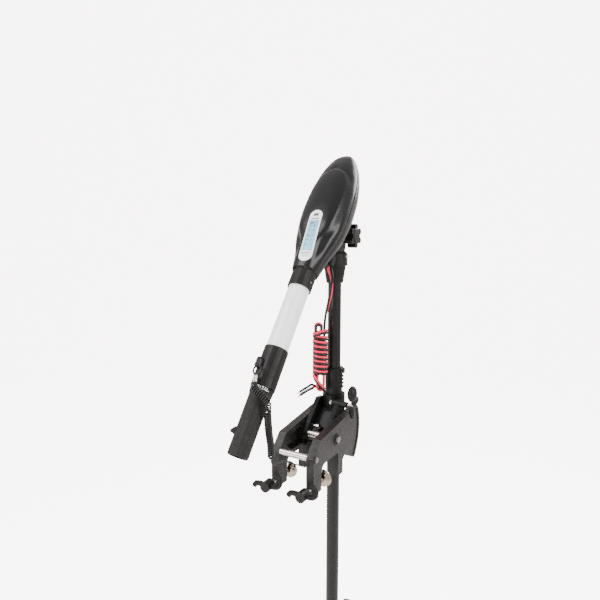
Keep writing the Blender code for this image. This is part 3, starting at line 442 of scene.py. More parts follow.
def add_object(name, data, body, material):
    thing = bpy.data.objects.new(name, data)
    bpy.context.scene.collection.objects.link(thing)
    if material is not None:
        data.materials.append(material)
    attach(thing, body)
    return thing


def from_bmesh(name, bm, body, material, angle=40, at=None):
    bmesh.ops.recalc_face_normals(bm, faces=bm.faces)
    if at is not None:
        bmesh.ops.transform(bm, matrix=at, verts=bm.verts)
    mesh = bpy.data.meshes.new(name)
    bm.to_mesh(mesh)
    bm.free()
    mesh.shade_smooth()
    mesh.set_sharp_from_angle(angle=math.radians(angle))
    return add_object(name, mesh, body, material)


def axes(origin, z_axis, x_axis=None):
    z = Vector(z_axis).normalized()
    if x_axis is None:
        x_axis = (0, 1, 0) if abs(z.x) > 0.9 else (1, 0, 0)
    x = (Vector(x_axis) - z * Vector(x_axis).dot(z)).normalized()
    turn = Matrix((x, z.cross(x), z)).transposed()
    return Matrix.Translation(Vector(origin)) @ turn.to_4x4()


def tiller_axes(down=0.0):
    up = Vector((0, math.cos(TILLER_ANGLE), math.sin(TILLER_ANGLE)))
    return axes(TILLER_START - up * down, up)


def tiller_point(x, down, front):
    return tiller_axes(down) @ Vector((x, -front, 0))


def lathe(bm, profile, at, sides=48):
    """Adds a solid of revolution about the matrix's Z. Its (radius, z) profile may be a ring."""
    rings = []
    for radius, z in profile:
        if radius < 1e-7:
            rings.append([bm.verts.new(at @ Vector((0, 0, z)))])
            continue
        rings.append(
            [
                bm.verts.new(at @ Vector((radius * math.cos(t), radius * math.sin(t), z)))
                for t in (2 * math.pi * i / sides for i in range(sides))
            ]
        )
    closed = len(rings[0]) > 1 and len(rings[-1]) > 1
    pairs = list(zip(rings, rings[1:])) + ([(rings[-1], rings[0])] if closed else [])
    for a, b in pairs:
        for i in range(sides):
            j = (i + 1) % sides
            if len(a) == 1:
                bm.faces.new((a[0], b[i], b[j]))
            elif len(b) == 1:
                bm.faces.new((a[i], b[0], a[j]))
            else:
                bm.faces.new((a[i], b[i], b[j], a[j]))


def smooth_route(points, spacing):
    points = [Vector(p) for p in points]
    ends = [2 * points[0] - points[1]] + points + [2 * points[-1] - points[-2]]
    route = []
    for a, b, c, d in zip(ends, ends[1:], ends[2:], ends[3:]):
        steps = max(1, round((c - b).length / spacing))
        for i in range(steps):
            t = i / steps
            bend = (2 * a - 5 * b + 4 * c - d) * t + (3 * b - 3 * c + d - a) * t * t
            route.append(b + ((c - a) + bend) * t / 2)
    return route + [points[-1]]


def length_of(points):
    return sum((b - a).length for a, b in zip(points, points[1:]))


def tube(name, points, radius, body, material, resolution=4):
    curve = bpy.data.curves.new(name, "CURVE")
    curve.dimensions = "3D"
    curve.bevel_depth = radius
    curve.bevel_resolution = resolution
    curve.use_fill_caps = True
    spline = curve.splines.new("POLY")
    spline.points.add(len(points) - 1)
    for point, position in zip(spline.points, points):
        point.co = (*position, 1)
    spline.use_smooth = True
    return add_object(name, curve, body, material)


# Cords


LEAD_RADIUS = 0.00265
HANK_TURN = math.radians(30.5)
ACROSS = Vector((math.cos(HANK_TURN), math.sin(HANK_TURN), 0))
FACING = Vector((math.sin(HANK_TURN), -math.cos(HANK_TURN), 0))
HANK_AT = Vector((-0.0145, 0.0636, 0))
LEAD_ROUTE = (
    (0.0081, 0.0617, 0.3790),
    (0.0092, 0.0588, 0.3735),
    (0.0122, 0.0576, 0.3675),
    (0.0145, 0.0575, 0.3590),
    (0.0140, 0.0585, 0.3430),
    (0.0105, 0.0605, 0.3250),
    (0.0050, 0.0620, 0.3030),
    (-0.0015, 0.0632, 0.2800),
)
# Turn of the pair at each of those points, in degrees: red in front, then hidden behind the black
LEAD_TWIST = (0, 8, 22, 60, 104, 120, 110, 95)


def hank_point(across, towards, height):
    """A point of the hank: across its broad side, towards the camera's side of it, and its height."""
    return HANK_AT + ACROSS * across + FACING * towards + Vector((0, 0, height))


def wire_route(side):
    """One wire of the twin lead: down from the gland, through the hank and out to its bare end."""
    route = []
    for point, degrees in zip(LEAD_ROUTE, LEAD_TWIST):
        twist = math.radians(degrees)
        shift = (ACROSS * math.cos(twist) + FACING * math.sin(twist) * 0.9) * 0.0029 * side
        route.append(Vector(point) + shift)
    # Red lies behind black at the hank's head and in front of it at its foot.
    deep = 0.0027 * side
    for a, t, h in (
        (0.0086, deep, 0.2560),
        (0.0080, deep, 0.2280),
        (0.0076 + deep, 0.0, 0.1850),
        (0.0076, -deep, 0.1480),
        (0.0074, -deep, 0.1280),
    ):
        route.append(hank_point(a, t, h))
    foot = 0.0068
    for step in range(1, 6):
        angle = -math.pi * step / 6
        route.append(hank_point(0.0004 + foot * math.cos(angle), -deep, 0.1200 + foot * math.sin(angle)))
    for a, t, h in ((-0.0064, -deep, 0.1300), (-0.0068 - deep, 0.0, 0.1800), (-0.0098, deep, 0.2300)):
        route.append(hank_point(a, t, h))
    crown = 0.0068 - 0.0010 * side
    for step in range(1, 6):
        angle = math.pi - math.pi * step / 6
        rise = 1.35 * crown * math.sin(angle)
        route.append(hank_point(-0.0042 + crown * math.cos(angle), deep * 1.05, 0.2480 + rise))
    # Behind the bundle, round its left side and up across the front to the first wrap.
    for a, t, h in (
        (0.0020, deep * 0.9, 0.2430),
        (-0.0020, -0.0070, 0.2370),
        (-0.0110, -0.0062, 0.2345),
        (-0.0142, 0.0010, 0.2345),
        (-0.0085, 0.0088, 0.2370),
        (0.0010, 0.0104, 0.2405),
        (0.0095, 0.0080, 0.2425),
    ):
        route.append(hank_point(a, t, h - 0.0024 * side))
    # Wraps round the bundle, the two wires one above the other; they end at the bundle's left.
    turns, points = 8.5, 20
    wide, thick = 0.01385, 0.00935
    high, low = 0.2360, 0.1465
    total = int(turns * points)
    for i in range(total + 1):
        t = i / total
        angle = -2 * math.pi * turns * t
        a = wide * math.copysign(abs(math.cos(angle)) ** 0.8, math.cos(angle))
        f = thick * math.copysign(abs(math.sin(angle)) ** 0.9, math.sin(angle))
        wobble = 0.0004 * math.sin(5 * t * math.pi + 2 * angle)
        climb = 0.0050 * max(0.0, 1 - 5 * t) ** 2
        route.append(hank_point(a, f, high + (low - high) * t - 0.0026 * side + wobble + climb))
    # Down across the front, round the loop at the foot, and out to the bare end at the left.
    for a, t, h in (
        (-0.0105, 0.0082, 0.1400),
        (-0.0042, 0.0104, 0.1320),
        (0.0028, 0.0106, 0.1240),
        (0.0080, 0.0080, 0.1175),
        (0.0086, 0.0010, 0.1145),
        (0.0030, -0.0062, 0.1150),
        (-0.0060, -0.0075, 0.1185),
    ):
        route.append(hank_point(a, t, h - 0.0026 * side))
    for x, y, z in (
        (-0.0290, 0.0545, 0.1215),
        (-0.0370, 0.0515, 0.1170),
        (-0.0460, 0.0485, 0.1105),
        (-0.0550, 0.0465, 0.1035),
    ):
        route.append(Vector((x, y, z + 0.0039 * side)))
    return route


def make_lead():
    for word, side in (("red", -1), ("black", 1)):
        route = smooth_route(wire_route(side), 0.0022)
        nodes = [f"battery_lead_{word}", f"battery_end_{word}"] + (["battery_lead_hank"] if side < 0 else [])
        wire = tube(
            f"lead_wire_{word}",
            route,
            LEAD_RADIUS,
            "shaft",
            M[f"lead_{word}"],
        )
        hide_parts(*nodes)
        end, before = route[-1], route[-3]
        along = (end - before).normalized()
        jacket = None
        if side < 0:
            # A black sleeve shrunk over the red wire's last stretch.
            jacket = tube(
                "lead_end_sleeve",
                route[-16:-1],
                LEAD_RADIUS + 0.00035,
                "shaft",
                M["lead_black"],
            )
        strands = tinned_end(f"lead_strands_{word}", end, along)


def tinned_end(name, start, along):
    """A short twist of tinned strands at a wire's cut end."""
    bm = bmesh.new()
    frame_at = axes(start - along * 0.001, along)
    strands, length, turns = 6, 0.0075, 0.8
    for s in range(strands):
        rings = []
        for i in range(9):
            t = i / 8
            angle = 2 * math.pi * (s / strands + turns * t)
            centre = Vector((0.00095 * math.cos(angle), 0.00095 * math.sin(angle), length * t))
            rings.append(
                [
                    bm.verts.new(frame_at @ (centre + 0.00055 * Vector((math.cos(a), math.sin(a), 0))))
                    for a in np.linspace(0, 2 * math.pi, 7)[:-1]
                ]
            )
        for a, b in zip(rings, rings[1:]):
            for j in range(6):
                bm.faces.new((a[j], a[(j + 1) % 6], b[(j + 1) % 6], b[j]))
        bm.faces.new(rings[0])
        bm.faces.new(rings[-1])
    return from_bmesh(name, bm, "shaft", M["tin"])


COIL_ROUTE = (
    (0.002, 0.2500, 0.0310),
    (0.007, 0.2600, 0.0300),
    (0.019, 0.2670, 0.0250),
    (0.029, 0.2760, 0.0140),
    (0.029, 0.2920, 0.0010),
    (0.023, 0.3110, -0.0290),
    (0.020, 0.3310, -0.0575),
    (0.017, 0.3470, -0.0750),
)
TAIL_ROUTE = (
    (0.0165, -0.1742, 0.0505),
    (0.0150, -0.1640, 0.0420),
    (0.0100, -0.1450, 0.0370),
    (0.0080, -0.1250, 0.0310),
    (0.0120, -0.1080, 0.0240),
    (0.0210, -0.0970, 0.0170),
    (0.0300, -0.0910, 0.0145),
    (0.0370, -0.0895, 0.0165),
)


def make_lanyard():
    """The curly cord as a helix along its route, its plain tail and stop, and the key's loop."""
    spine = smooth_route([tiller_point(*p) for p in COIL_ROUTE], 0.0008)
    cord, pitch, coil_radius = 0.0014, 0.0038, 0.0068
    around = 16  # points in each turn
    reach = coil_radius - cord
    total = length_of(spine)
    turns = total / pitch
    steps = int(turns * around)
    lengths = [0.0]
    for a, b in zip(spine, spine[1:]):
        lengths.append(lengths[-1] + (b - a).length)
    route = []
    side = Vector((1, 0, 0))
    place = 0
    for i in range(steps + 1):
        d = total * i / steps
        while place < len(lengths) - 2 and lengths[place + 1] < d:
            place += 1
        part = (d - lengths[place]) / max(1e-9, lengths[place + 1] - lengths[place])
        centre = spine[place].lerp(spine[place + 1], part)
        along = (spine[place + 1] - spine[place]).normalized()
        side = (side - along * side.dot(along)).normalized()
        other = along.cross(side)
        ease = min(1, i / (2 * around), (steps - i) / (2 * around)) ** 0.5
        angle = 2 * math.pi * i / around
        route.append(centre + (side * math.cos(angle) + other * math.sin(angle)) * reach * max(0.15, ease))
    tail = smooth_route(TAIL_ROUTE, 0.002)
    route = route + [Vector(p) for p in tail[2:]]
    curl = tube("lanyard_curl", route, cord, "key", M["lead_black"], 2)
    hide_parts("lanyard_coil", "lanyard_tail")
    bm = bmesh.new()
    end, before = Vector(tail[-1]), Vector(tail[-3])
    lathe(
        bm,
        [(0, -0.0005), (0.0026, -0.0005), (0.0031, 0.0012), (0.0031, 0.0075), (0.0022, 0.0092), (0, 0.0092)],
        axes(end, end - before),
        20,
    )
    stop = from_bmesh("lanyard_stop", bm, "key", M["black_nylon"])
    loop_pieces = make_key_loop()
    return loop_pieces


def make_key_loop():
    """The plain loop between the key and the crimp, and the crimp's two barrels."""
    points = [
        (0.0015, 0.2195, 0.0300),
        (-0.0045, 0.2190, 0.0322),
        (-0.0086, 0.2250, 0.0330),
        (-0.0072, 0.2320, 0.0326),
        (-0.0020, 0.2365, 0.0318),
        (0.0032, 0.2330, 0.0318),
        (0.0044, 0.2260, 0.0316),
        (0.0030, 0.2205, 0.0306),
    ]
    loop = tube(
        "lanyard_loop",
        smooth_route([tiller_point(*p) for p in points], 0.0015),
        0.0016,
        "key",
        M["lead_black"],
        3,
    )
    bm = bmesh.new()
    start, end = tiller_point(-0.0016, 0.2352, 0.0312), tiller_point(0.0016, 0.2490, 0.0314)
    along = (end - start).normalized()
    across = along.cross(Vector((0, -0.79, 0.61))).normalized()
    for way in (-1, 1):
        at = axes(start + across * 0.0019 * way, along)
        long = (end - start).length
        lathe(
            bm,
            [
                (0, 0.001),
                (0.0017, 0),
                (0.0024, 0.0010),
                (0.0024, long * 0.42),
                (0.0020, long * 0.5),
                (0.0024, long * 0.58),
                (0.0024, long - 0.001),
                (0.0017, long),
                (0, long - 0.001),
            ],
            at,
            20,
        )
    crimp = from_bmesh("lanyard_ferrule", bm, "key", M["steel"])
    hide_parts("lanyard_crimp")
    return loop, crimp


# Head


STATIONS = (
    (-0.008, 0.0243, 0.0243, 0.0248),
    (0.030, 0.0330, 0.0265, 0.0320),
    (0.065, 0.0430, 0.0285, 0.0410),
    (0.100, 0.0495, 0.0310, 0.0485),
    (0.135, 0.0515, 0.0325, 0.0520),
    (0.175, 0.0505, 0.0320, 0.0510),
    (0.215, 0.0455, 0.0295, 0.0460),
    (0.250, 0.0370, 0.0245, 0.0360),
    (0.272, 0.0275, 0.0190, 0.0250),
)
HEAD_TOP = 0.2938
HEAD_POWER = 2.5
# Half width of the raised face panel by distance up the head
PANEL = (
    (-0.010, 0.0215),
    (0.000, 0.0200),
    (0.025, 0.0185),
    (0.045, 0.0190),
    (0.060, 0.0225),
    (0.075, 0.0310),
    (0.090, 0.0385),
    (0.110, 0.0420),
    (0.150, 0.0425),
    (0.185, 0.0400),
    (0.205, 0.0350),
    (0.220, 0.0270),
    (0.230, 0.0160),
    (0.2350, 0.0000),
)


def along_table(table, where):
    """The table's smooth values at this place, by a monotone cubic through its rows."""
    rows = [np.array(r, float) for r in table]
    if where <= rows[0][0]:
        return rows[0][1:]
    if where >= rows[-1][0]:
        return rows[-1][1:]
    i = max(k for k, r in enumerate(rows) if r[0] <= where)
    i = min(i, len(rows) - 2)
    a, b = rows[i], rows[i + 1]
    h = b[0] - a[0]

    def slope(k):
        if k <= 0 or k >= len(rows) - 1:
            j = min(max(k, 1), len(rows) - 1)
            return (rows[j][1:] - rows[j - 1][1:]) / (rows[j][0] - rows[j - 1][0])
        left = (rows[k][1:] - rows[k - 1][1:]) / (rows[k][0] - rows[k - 1][0])
        right = (rows[k + 1][1:] - rows[k][1:]) / (rows[k + 1][0] - rows[k][0])
        return np.where(left * right > 0, 2 * left * right / (left + right + 1e-12), 0)

    t = (where - a[0]) / h
    m0, m1 = slope(i) * h, slope(i + 1) * h
    return (
        2 * t**3 - 3 * t**2 + 1
    ) * a[1:] + (t**3 - 2 * t**2 + t) * m0 + (3 * t**2 - 2 * t**3) * b[1:] + (t**3 - t**2) * m1


def smoothstep(value, low, high):
    t = min(1.0, max(0.0, (value - low) / (high - low)))
    return t * t * (3 - 2 * t)


def head_size(v):
    """Half width, front depth and back depth at this distance up the head, rounded off at the top."""
    last = STATIONS[-1][0]
    if v <= last:
        return along_table(STATIONS, v)
    base = np.array(STATIONS[-1][1:])
    left = max(0.0, (HEAD_TOP - v) / (HEAD_TOP - last))
    return base * math.sqrt(left)


def panel_half(v):
    if v >= PANEL[-1][0]:
        return -0.010 * (v - PANEL[-1][0]) / 0.01
    return float(along_table(PANEL, v)[0])


def front_depth(x, v):
    """How far the front cover stands in front of the tiller's axis."""
    half, ahead, _ = head_size(v)
    inside = max(0.0, 1 - (abs(x) / max(half, 1e-6)) ** HEAD_POWER)
    y = ahead * inside ** (1 / HEAD_POWER)
    return y + relief(x, v, y, ahead)


def relief(x, v, y, ahead):
    """Raised face panel: a groove runs round it, with shoulders that bulge and a hollow below them."""
    fade = smoothstep(y / max(ahead, 1e-6), 0.0, 0.60)
    edge = panel_half(v) - abs(x)
    low = 1 - smoothstep(v, 0.050, 0.135)
    sharp = 0.0055 - 0.0015 * low
    inside = smoothstep(edge, -sharp, sharp)
    groove = (0.0014 + 0.0034 * low) * smoothstep(v, -0.008, 0.045)
    # Past the groove the flank comes back up as a rounded rail.
    rail = smoothstep(-edge, sharp, sharp + 0.0130)
    shoulder = 0.0016 * math.exp(-(((v - 0.098) / 0.024) ** 2) - ((abs(x) - 0.030) / 0.012) ** 2)
    crown = 0.0014 * smoothstep(v, 0.02, 0.12) * (1 - smoothstep(v, 0.200, 0.240))
    return fade * (inside * (crown + shoulder + 0.0006) - (1 - inside) * groove * (1 - 0.7 * rail))


def head_half(name, front):
    """One half of the head's casing, as a smooth shell split on the plane through the tiller's axis."""
    bm = bmesh.new()
    columns, rows = 72, 110
    way = -1 if front else 1
    grid = []
    for r in range(rows + 1):
        t = r / rows
        low = STATIONS[0][0]
        v = low + (HEAD_TOP - low) * (1 - (1 - t) ** 1.35) if r < rows else HEAD_TOP - 0.00002
        half, ahead, behind = head_size(v)
        deep = ahead if front else behind
        line = []
        for c in range(columns + 1):
            angle = math.pi * c / columns
            x = half * math.copysign(abs(math.cos(angle)) ** (2 / HEAD_POWER), math.cos(angle))
            y = deep * abs(math.sin(angle)) ** (2 / HEAD_POWER)
            if front:
                y += relief(x, v, y, ahead)
            else:
                # The back cover takes no relief; its depth is only kept from going below zero.
                y = max(0.0, y)
            line.append(bm.verts.new((x, way * (y + 0.0005), v)))
        grid.append(line)
    for a, b in zip(grid, grid[1:]):
        for c in range(columns):
            bm.faces.new((a[c], a[c + 1], b[c + 1], b[c]))
    piece = from_bmesh(name, bm, "head", M["gloss_black"], 50, tiller_axes())
    normal = piece.data.polygons[(rows // 2) * columns + columns // 2].normal
    out = tiller_axes().to_3x3() @ Vector((0, way, 0))
    shell = piece.modifiers.new("Solidify", "SOLIDIFY")
    shell.thickness = 0.0024
    shell.offset = -1 if normal.dot(out) > 0 else 1
    return piece


def make_head():
    front = head_half("head_shell_front", True)
    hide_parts("head_cover_front")
    back = head_half("head_shell_back", False)
    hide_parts("head_cover_back")
    make_ears()
    make_label()
    make_head_screws()


def make_ears():
    """The two lugs behind the head that straddle the neck's tongue."""
    local = tiller_axes().inverted() @ Vector((0, 0.1244, 0.4422))
    bm = bmesh.new()
    rim = [(math.radians(a), 0.013) for a in range(-70, 71, 7)]
    outline = [(0.041, local.z - 0.030)]
    outline += [(local.y + r * math.cos(a), local.z + r * math.sin(a)) for a, r in rim]
    outline += [(0.041, local.z + 0.026)]
    for side in (1, -1):
        low, high = sorted((side * 0.0112, side * 0.0152))
        a = [bm.verts.new((low, y, z)) for y, z in outline]
        b = [bm.verts.new((high, y, z)) for y, z in outline]
        bm.faces.new(a)
        bm.faces.new(b)
        for i in range(len(outline)):
            j = (i + 1) % len(outline)
            bm.faces.new((a[i], a[j], b[j], b[i]))
    ears = from_bmesh("head_lugs", bm, "head", M["gloss_black"], 35, tiller_axes())
    bevel = ears.modifiers.new("Bevel", "BEVEL")
    bevel.width, bevel.segments = 0.0007, 2


LABEL = {"low": 0.004, "high": 0.1195, "half": 0.0136, "middle": 0.0006}


def label_place(s, v):
    """A point on the label: s across it in metres, v up the head."""
    x = LABEL["middle"] + s + 0.0030 * (1 - smoothstep(v, 0.0, 0.12))
    return x, front_depth(x, v)


def label_half(v):
    half = LABEL["half"]
    near = min(v - LABEL["low"], LABEL["high"] - v)
    if near >= half:
        return half
    return math.sqrt(max(0.0, half * half - (half - near) ** 2))


def label_patch(name, low, high, half_at, lift, material, across=14, rows=60):
    """A thin plate that lies on the front cover, from low to high up the head."""
    bm = bmesh.new()
    top, under = [], []
    for r in range(rows + 1):
        v = low + (high - low) * (0.5 - 0.5 * math.cos(math.pi * r / rows))
        half = max(half_at(v), 0.0002)
        a, b = [], []
        for c in range(across + 1):
            s = half * (2 * c / across - 1)
            x, y = label_place(s, v)
            a.append(bm.verts.new((x, -(y + lift), v)))
            b.append(bm.verts.new((x, -(y + lift - 0.0009), v)))
        top.append(a)
        under.append(b)
    for sheet in (top, under):
        for a, b in zip(sheet, sheet[1:]):
            for c in range(across):
                bm.faces.new((a[c], a[c + 1], b[c + 1], b[c]))
    edge = [(r, 0) for r in range(rows + 1)] + [(rows, c) for c in range(1, across + 1)]
    edge += [(r, across) for r in range(rows - 1, -1, -1)] + [(0, c) for c in range(across - 1, 0, -1)]
    for (r1, c1), (r2, c2) in zip(edge, edge[1:] + edge[:1]):
        bm.faces.new((top[r1][c1], top[r2][c2], under[r2][c2], under[r1][c1]))
    return from_bmesh(name, bm, "head", material, 40, tiller_axes())


def printed(name, low, high, span):
    """Printed film whose tone runs along the head from one colour to the other."""
    n = Nodes(name)
    up = Vector((0, math.cos(TILLER_ANGLE), math.sin(TILLER_ANGLE)))
    v = n.along(tuple(up), -TILLER_START.dot(up))
    n.colour(n.mix(n.spread(v, 0.0, 1.0, *span), low, high))
    n.roughness(n.spread(n.noise(200, 3), 0.22, 0.34, 0.3, 0.7))
    n.bump(n.noise(300, 2), 0.03, 0.0002)
    n.set(Coat_Weight=0.3, Coat_Roughness=0.08)
    return n.material


def make_label():
    white = printed("label_white", (0.80, 0.82, 0.82), (0.86, 0.87, 0.88), (0.0, 0.12))
    blue = printed("label_blue_window", (0.10, 0.44, 0.60), (0.035, 0.28, 0.46), (0.030, 0.092))
    ink = printed("label_ink", (0.02, 0.03, 0.04), (0.02, 0.03, 0.04), (0.0, 0.1))
    pill = label_patch("gauge_plate", LABEL["low"], LABEL["high"], label_half, 0.0007, white)
    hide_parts("battery_gauge")
    label_patch("gauge_window", 0.0270, 0.0950, lambda v: 0.0105, 0.0010, blue, 10, 40)
    marks = []
    for i in range(5):
        v = 0.040 + 0.0105 * i
        marks.append(((-0.0055 + 0.0004 * i), v, 0.0026 - 0.0002 * i, 0.0014))
    marks += [(-0.0035, 0.0885, 0.0034, 0.0026), (0.0, 0.1085, 0.0052, 0.0034), (0.0, 0.0990, 0.0080, 0.0010)]
    marks += [(0.0, 0.0215, 0.0085, 0.0012), (0.001, 0.0165, 0.0060, 0.0009)]
    bm = bmesh.new()
    for s, v, half, tall in marks:
        corners = []
        for lift in (0.0007, 0.00125):
            for ds, dv in ((-half, -tall), (half, -tall * 0.6), (half, tall), (-half, tall * 0.6)):
                x, y = label_place(s + ds, v + dv)
                corners.append(bm.verts.new((x, -(y + lift), v + dv)))
        for quad in ((0, 1, 2, 3), (4, 5, 6, 7), (0, 1, 5, 4), (1, 2, 6, 5), (2, 3, 7, 6), (3, 0, 4, 7)):
            bm.faces.new([corners[k] for k in quad])
    from_bmesh("gauge_marks", bm, "head", ink, 30, tiller_axes())
    for i in range(5):
        digit = bpy.data.curves.new(f"gauge_digit_{i + 1}", "FONT")
        digit.body = str(i + 1)
        digit.size = 0.0062
        digit.extrude = 0.0002
        digit.align_x, digit.align_y = "CENTER", "CENTER"
        v = 0.040 + 0.0105 * i
        x, y = label_place(0.0035, v)
        piece = add_object(digit.name, digit, "head", ink)
        piece.matrix_world = tiller_axes() @ Matrix.Translation(
            (x, -(y + 0.00115), v)
        ) @ Matrix.Rotation(math.pi / 2, 4, "X")


def make_head_screws():
    """Countersunk screws in the back cover's rim."""
    bm = bmesh.new()
    for v, share in ((0.060, 0.55), (0.190, 0.62)):
        half, _, behind = head_size(v)
        for side in (1, -1):
            x = side * half * share
            y = behind * (1 - share**HEAD_POWER) ** (1 / HEAD_POWER)
            out = Vector((side * 0.45, 1, 0)).normalized()
            at = axes(Vector((x, y - 0.0006, v)), out)
            lathe(
                bm,
                [
                    (0, 0.0002),
                    (0.0011, 0.0002),
                    (0.0013, 0.0012),
                    (0.0030, 0.0012),
                    (0.0036, 0.0004),
                    (0.0036, -0.0015),
                    (0, -0.0015),
                ],
                at,
                20,
            )
    from_bmesh("head_screws", bm, "head", M["steel"], 35, tiller_axes())


# Grip, dial and key


def ring_block(bm, radius, low, high, start, end, thick):
    """Adds a curved block round the tiller's axis, from low to high down it, in degrees from its front."""
    steps = max(2, int(abs(end - start) / 4))
    rows = []
    for i in range(steps + 1):
        a = math.radians(start + (end - start) * i / steps)
        row = []
        for r, z in ((radius, -low), (radius + thick, -low), (radius + thick, -high), (radius, -high)):
            row.append(bm.verts.new((r * math.sin(a), -r * math.cos(a), z)))
        rows.append(row)
    for a, b in zip(rows, rows[1:]):
        for j in range(4):
            k = (j + 1) % 4
            bm.faces.new((a[j], a[k], b[k], b[j]))
    bm.faces.new(rows[0])
    bm.faces.new(rows[-1])


def make_dial():
    """The dial between the sleeve and the grip, with its white speed marks."""
    bm = bmesh.new()
    at = Matrix.Identity(4)
    lathe(
        bm,
        [
            (0.0048, -0.2483),
            (0.0205, -0.2483),
            (0.0212, -0.2490),
            (0.0212, -0.2543),
            (0.0205, -0.2550),
            (0.0048, -0.2550),
        ],
        at,
        64,
    )
    dial = from_bmesh("speed_dial", bm, "tiller", M["black_nylon"], 35, tiller_axes())
    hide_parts("throttle_dial")
    marks = bmesh.new()
    for start, end, low, high in (
        (-4, 16, 0.2486, 0.2546),
        (22, 24, 0.2490, 0.2540),
        (30, 38, 0.2490, 0.2506),
        (34, 36, 0.2512, 0.2540),
        (44, 47, 0.2490, 0.2540),
        (54, 56, 0.2496, 0.2536),
        (30, 40, 0.2540, 0.2547),
        (48, 68, 0.2538, 0.2547),
        (-34, -12, 0.2488, 0.2532),
        (-60, -54, 0.2490, 0.2528),
        (-72, -69, 0.2490, 0.2528),
    ):
        ring_block(marks, 0.0209, low, high, start, end, 0.0006)
    from_bmesh("speed_marks", marks, "tiller", M["white_tube"], 30, tiller_axes())


def make_grip():
    """The twist grip: a softly fluted rubber sleeve with a domed shoulder, hollow end and pointer fin."""
    bm = bmesh.new()
    sides = 96
    profile = [
        (0.0048, -0.2553),
        (0.0204, -0.2553),
        (0.0209, -0.2560),
        (0.0207, -0.2585),
        (0.0196, -0.2625),
        (0.0192, -0.2660),
        (0.0190, -0.2900),
        (0.0188, -0.3300),
        (0.0186, -0.3640),
        (0.0182, -0.3680),
        (0.0172, -0.3692),
        (0.0140, -0.3690),
        (0.0130, -0.3670),
        (0.0127, -0.3520),
        (0.0048, -0.3515),
    ]
    rings = []
    for radius, z in profile:
        ring = []
        flute = 0.00045 * smoothstep(-z, 0.262, 0.275) * (1 - smoothstep(-z, 0.355, 0.366)) * (radius > 0.018)
        for i in range(sides):
            t = 2 * math.pi * i / sides
            r = radius - flute * (1 - abs(math.cos(6 * t)) ** 0.5)
            ring.append(bm.verts.new((r * math.cos(t), r * math.sin(t), z)))
        rings.append(ring)
    for a, b in list(zip(rings, rings[1:])) + [(rings[-1], rings[0])]:
        for i in range(sides):
            j = (i + 1) % sides
            bm.faces.new((a[i], b[i], b[j], a[j]))
    grip = from_bmesh("grip_sleeve", bm, "grip", M["grip"], 35, tiller_axes())
    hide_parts("throttle_grip")
    fin = bmesh.new()
    out = Vector((-0.88, -0.48, 0)).normalized()
    side = Vector((0, 0, 1))
    wide = out.cross(side)
    outline = [
        (0.0165, 0.0085),
        (0.0215, 0.0060),
        (0.0262, 0.0005),
        (0.0272, -0.0025),
        (0.0262, -0.0048),
        (0.0230, -0.0052),
        (0.0165, -0.0075),
    ]
    sheets = []
    for w in (-1, 1):
        sheet = []
        for reach, rise in outline:
            thin = 0.0030 - 0.0016 * (reach - 0.0165) / 0.0107
            sheet.append(fin.verts.new(out * reach + side * (rise - 0.330) + wide * thin * w))
        sheets.append(sheet)
        fin.faces.new(sheet)
    for i in range(len(outline)):
        j = (i + 1) % len(outline)
        fin.faces.new((sheets[0][i], sheets[0][j], sheets[1][j], sheets[1][i]))
    pointer = from_bmesh("grip_pointer", fin, "grip", M["black_rubber"], 30, tiller_axes())
    soften(pointer, 0.0008, 3)


def soften(thing, width, segments=2):
    bevel = thing.modifiers.new("Bevel", "BEVEL")
    bevel.width, bevel.segments = width, segments
    bevel.limit_method = "ANGLE"
    bevel.angle_limit = math.radians(32)
    bevel.harden_normals = False


def make_key():
    """The oval safety key: a rounded stadium with a raised rim, on its seat."""
    bm = bmesh.new()
    at = tiller_axes(0.211) @ Matrix.Rotation(math.radians(-18), 4, "Z")

    def stadium(radius, straight, height):
        ring = []
        for i in range(48):
            a = 2 * math.pi * i / 48
            x, z = radius * math.cos(a), radius * math.sin(a) + math.copysign(straight, math.sin(a) + 1e-9)
            ring.append(bm.verts.new((x, -height, z)))
        return ring

    base = 0.0228
    levels = [
        (0.0050, 0.0045, base + 0.0001),
        (0.0060, 0.0045, base + 0.0006),
        (0.0060, 0.0045, base + 0.0066),
        (0.0054, 0.0044, base + 0.0084),
        (0.0044, 0.0042, base + 0.0090),
        (0.0036, 0.0040, base + 0.0089),
        (0.0030, 0.0036, base + 0.0082),
    ]
    rings = [stadium(*level) for level in levels]
    for a, b in zip(rings, rings[1:]):
        for i in range(48):
            j = (i + 1) % 48
            bm.faces.new((a[i], a[j], b[j], b[i]))
    bm.faces.new(rings[0])
    bm.faces.new(rings[-1])
    key = from_bmesh("kill_key", bm, "key", M["gloss_black"], 50, at)
    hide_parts("safety_key")


# Bracket dressing


def polish_frame():
    """Softens the edges of the carried-over solids; their own meshes stay as packed."""
    widths = {
        "bracket_cheek_right": 0.0012,
        "bracket_cheek_left": 0.0012,
        "tilt_carriage": 0.0008,
        "clamp_handle_right": 0.0008,
        "clamp_handle_left": 0.0008,
        "neck_yoke": 0.0007,
        "depth_collar": 0.0006,
        "depth_knob": 0.0010,
        "motor_housing": 0.0008,
        "head_tilt_knob": 0.0008,
        "tiller_collar": 0.0006,
        "throttle_sleeve": 0.0006,
        "front_tie_nut": 0.0005,
        "tilt_pivot_nut": 0.0005,
    }
    for name, width in widths.items():
        soften(frame["nodes"][name], width, 2)


def lobe(bm, centre, reach, turn=0.0):
    """Adds a rounded lobe: half sizes along X, Y and Z, turned about the X axis."""
    spot = Matrix.Translation(centre) @ Matrix.Rotation(turn, 4, "X") @ Matrix.Diagonal((*reach, 1))
    bmesh.ops.create_uvsphere(bm, u_segments=28, v_segments=18, radius=1, matrix=spot)


TENSION_AXIS = (0.0705, 0.088)  # Y and Z of the wing knob's screw


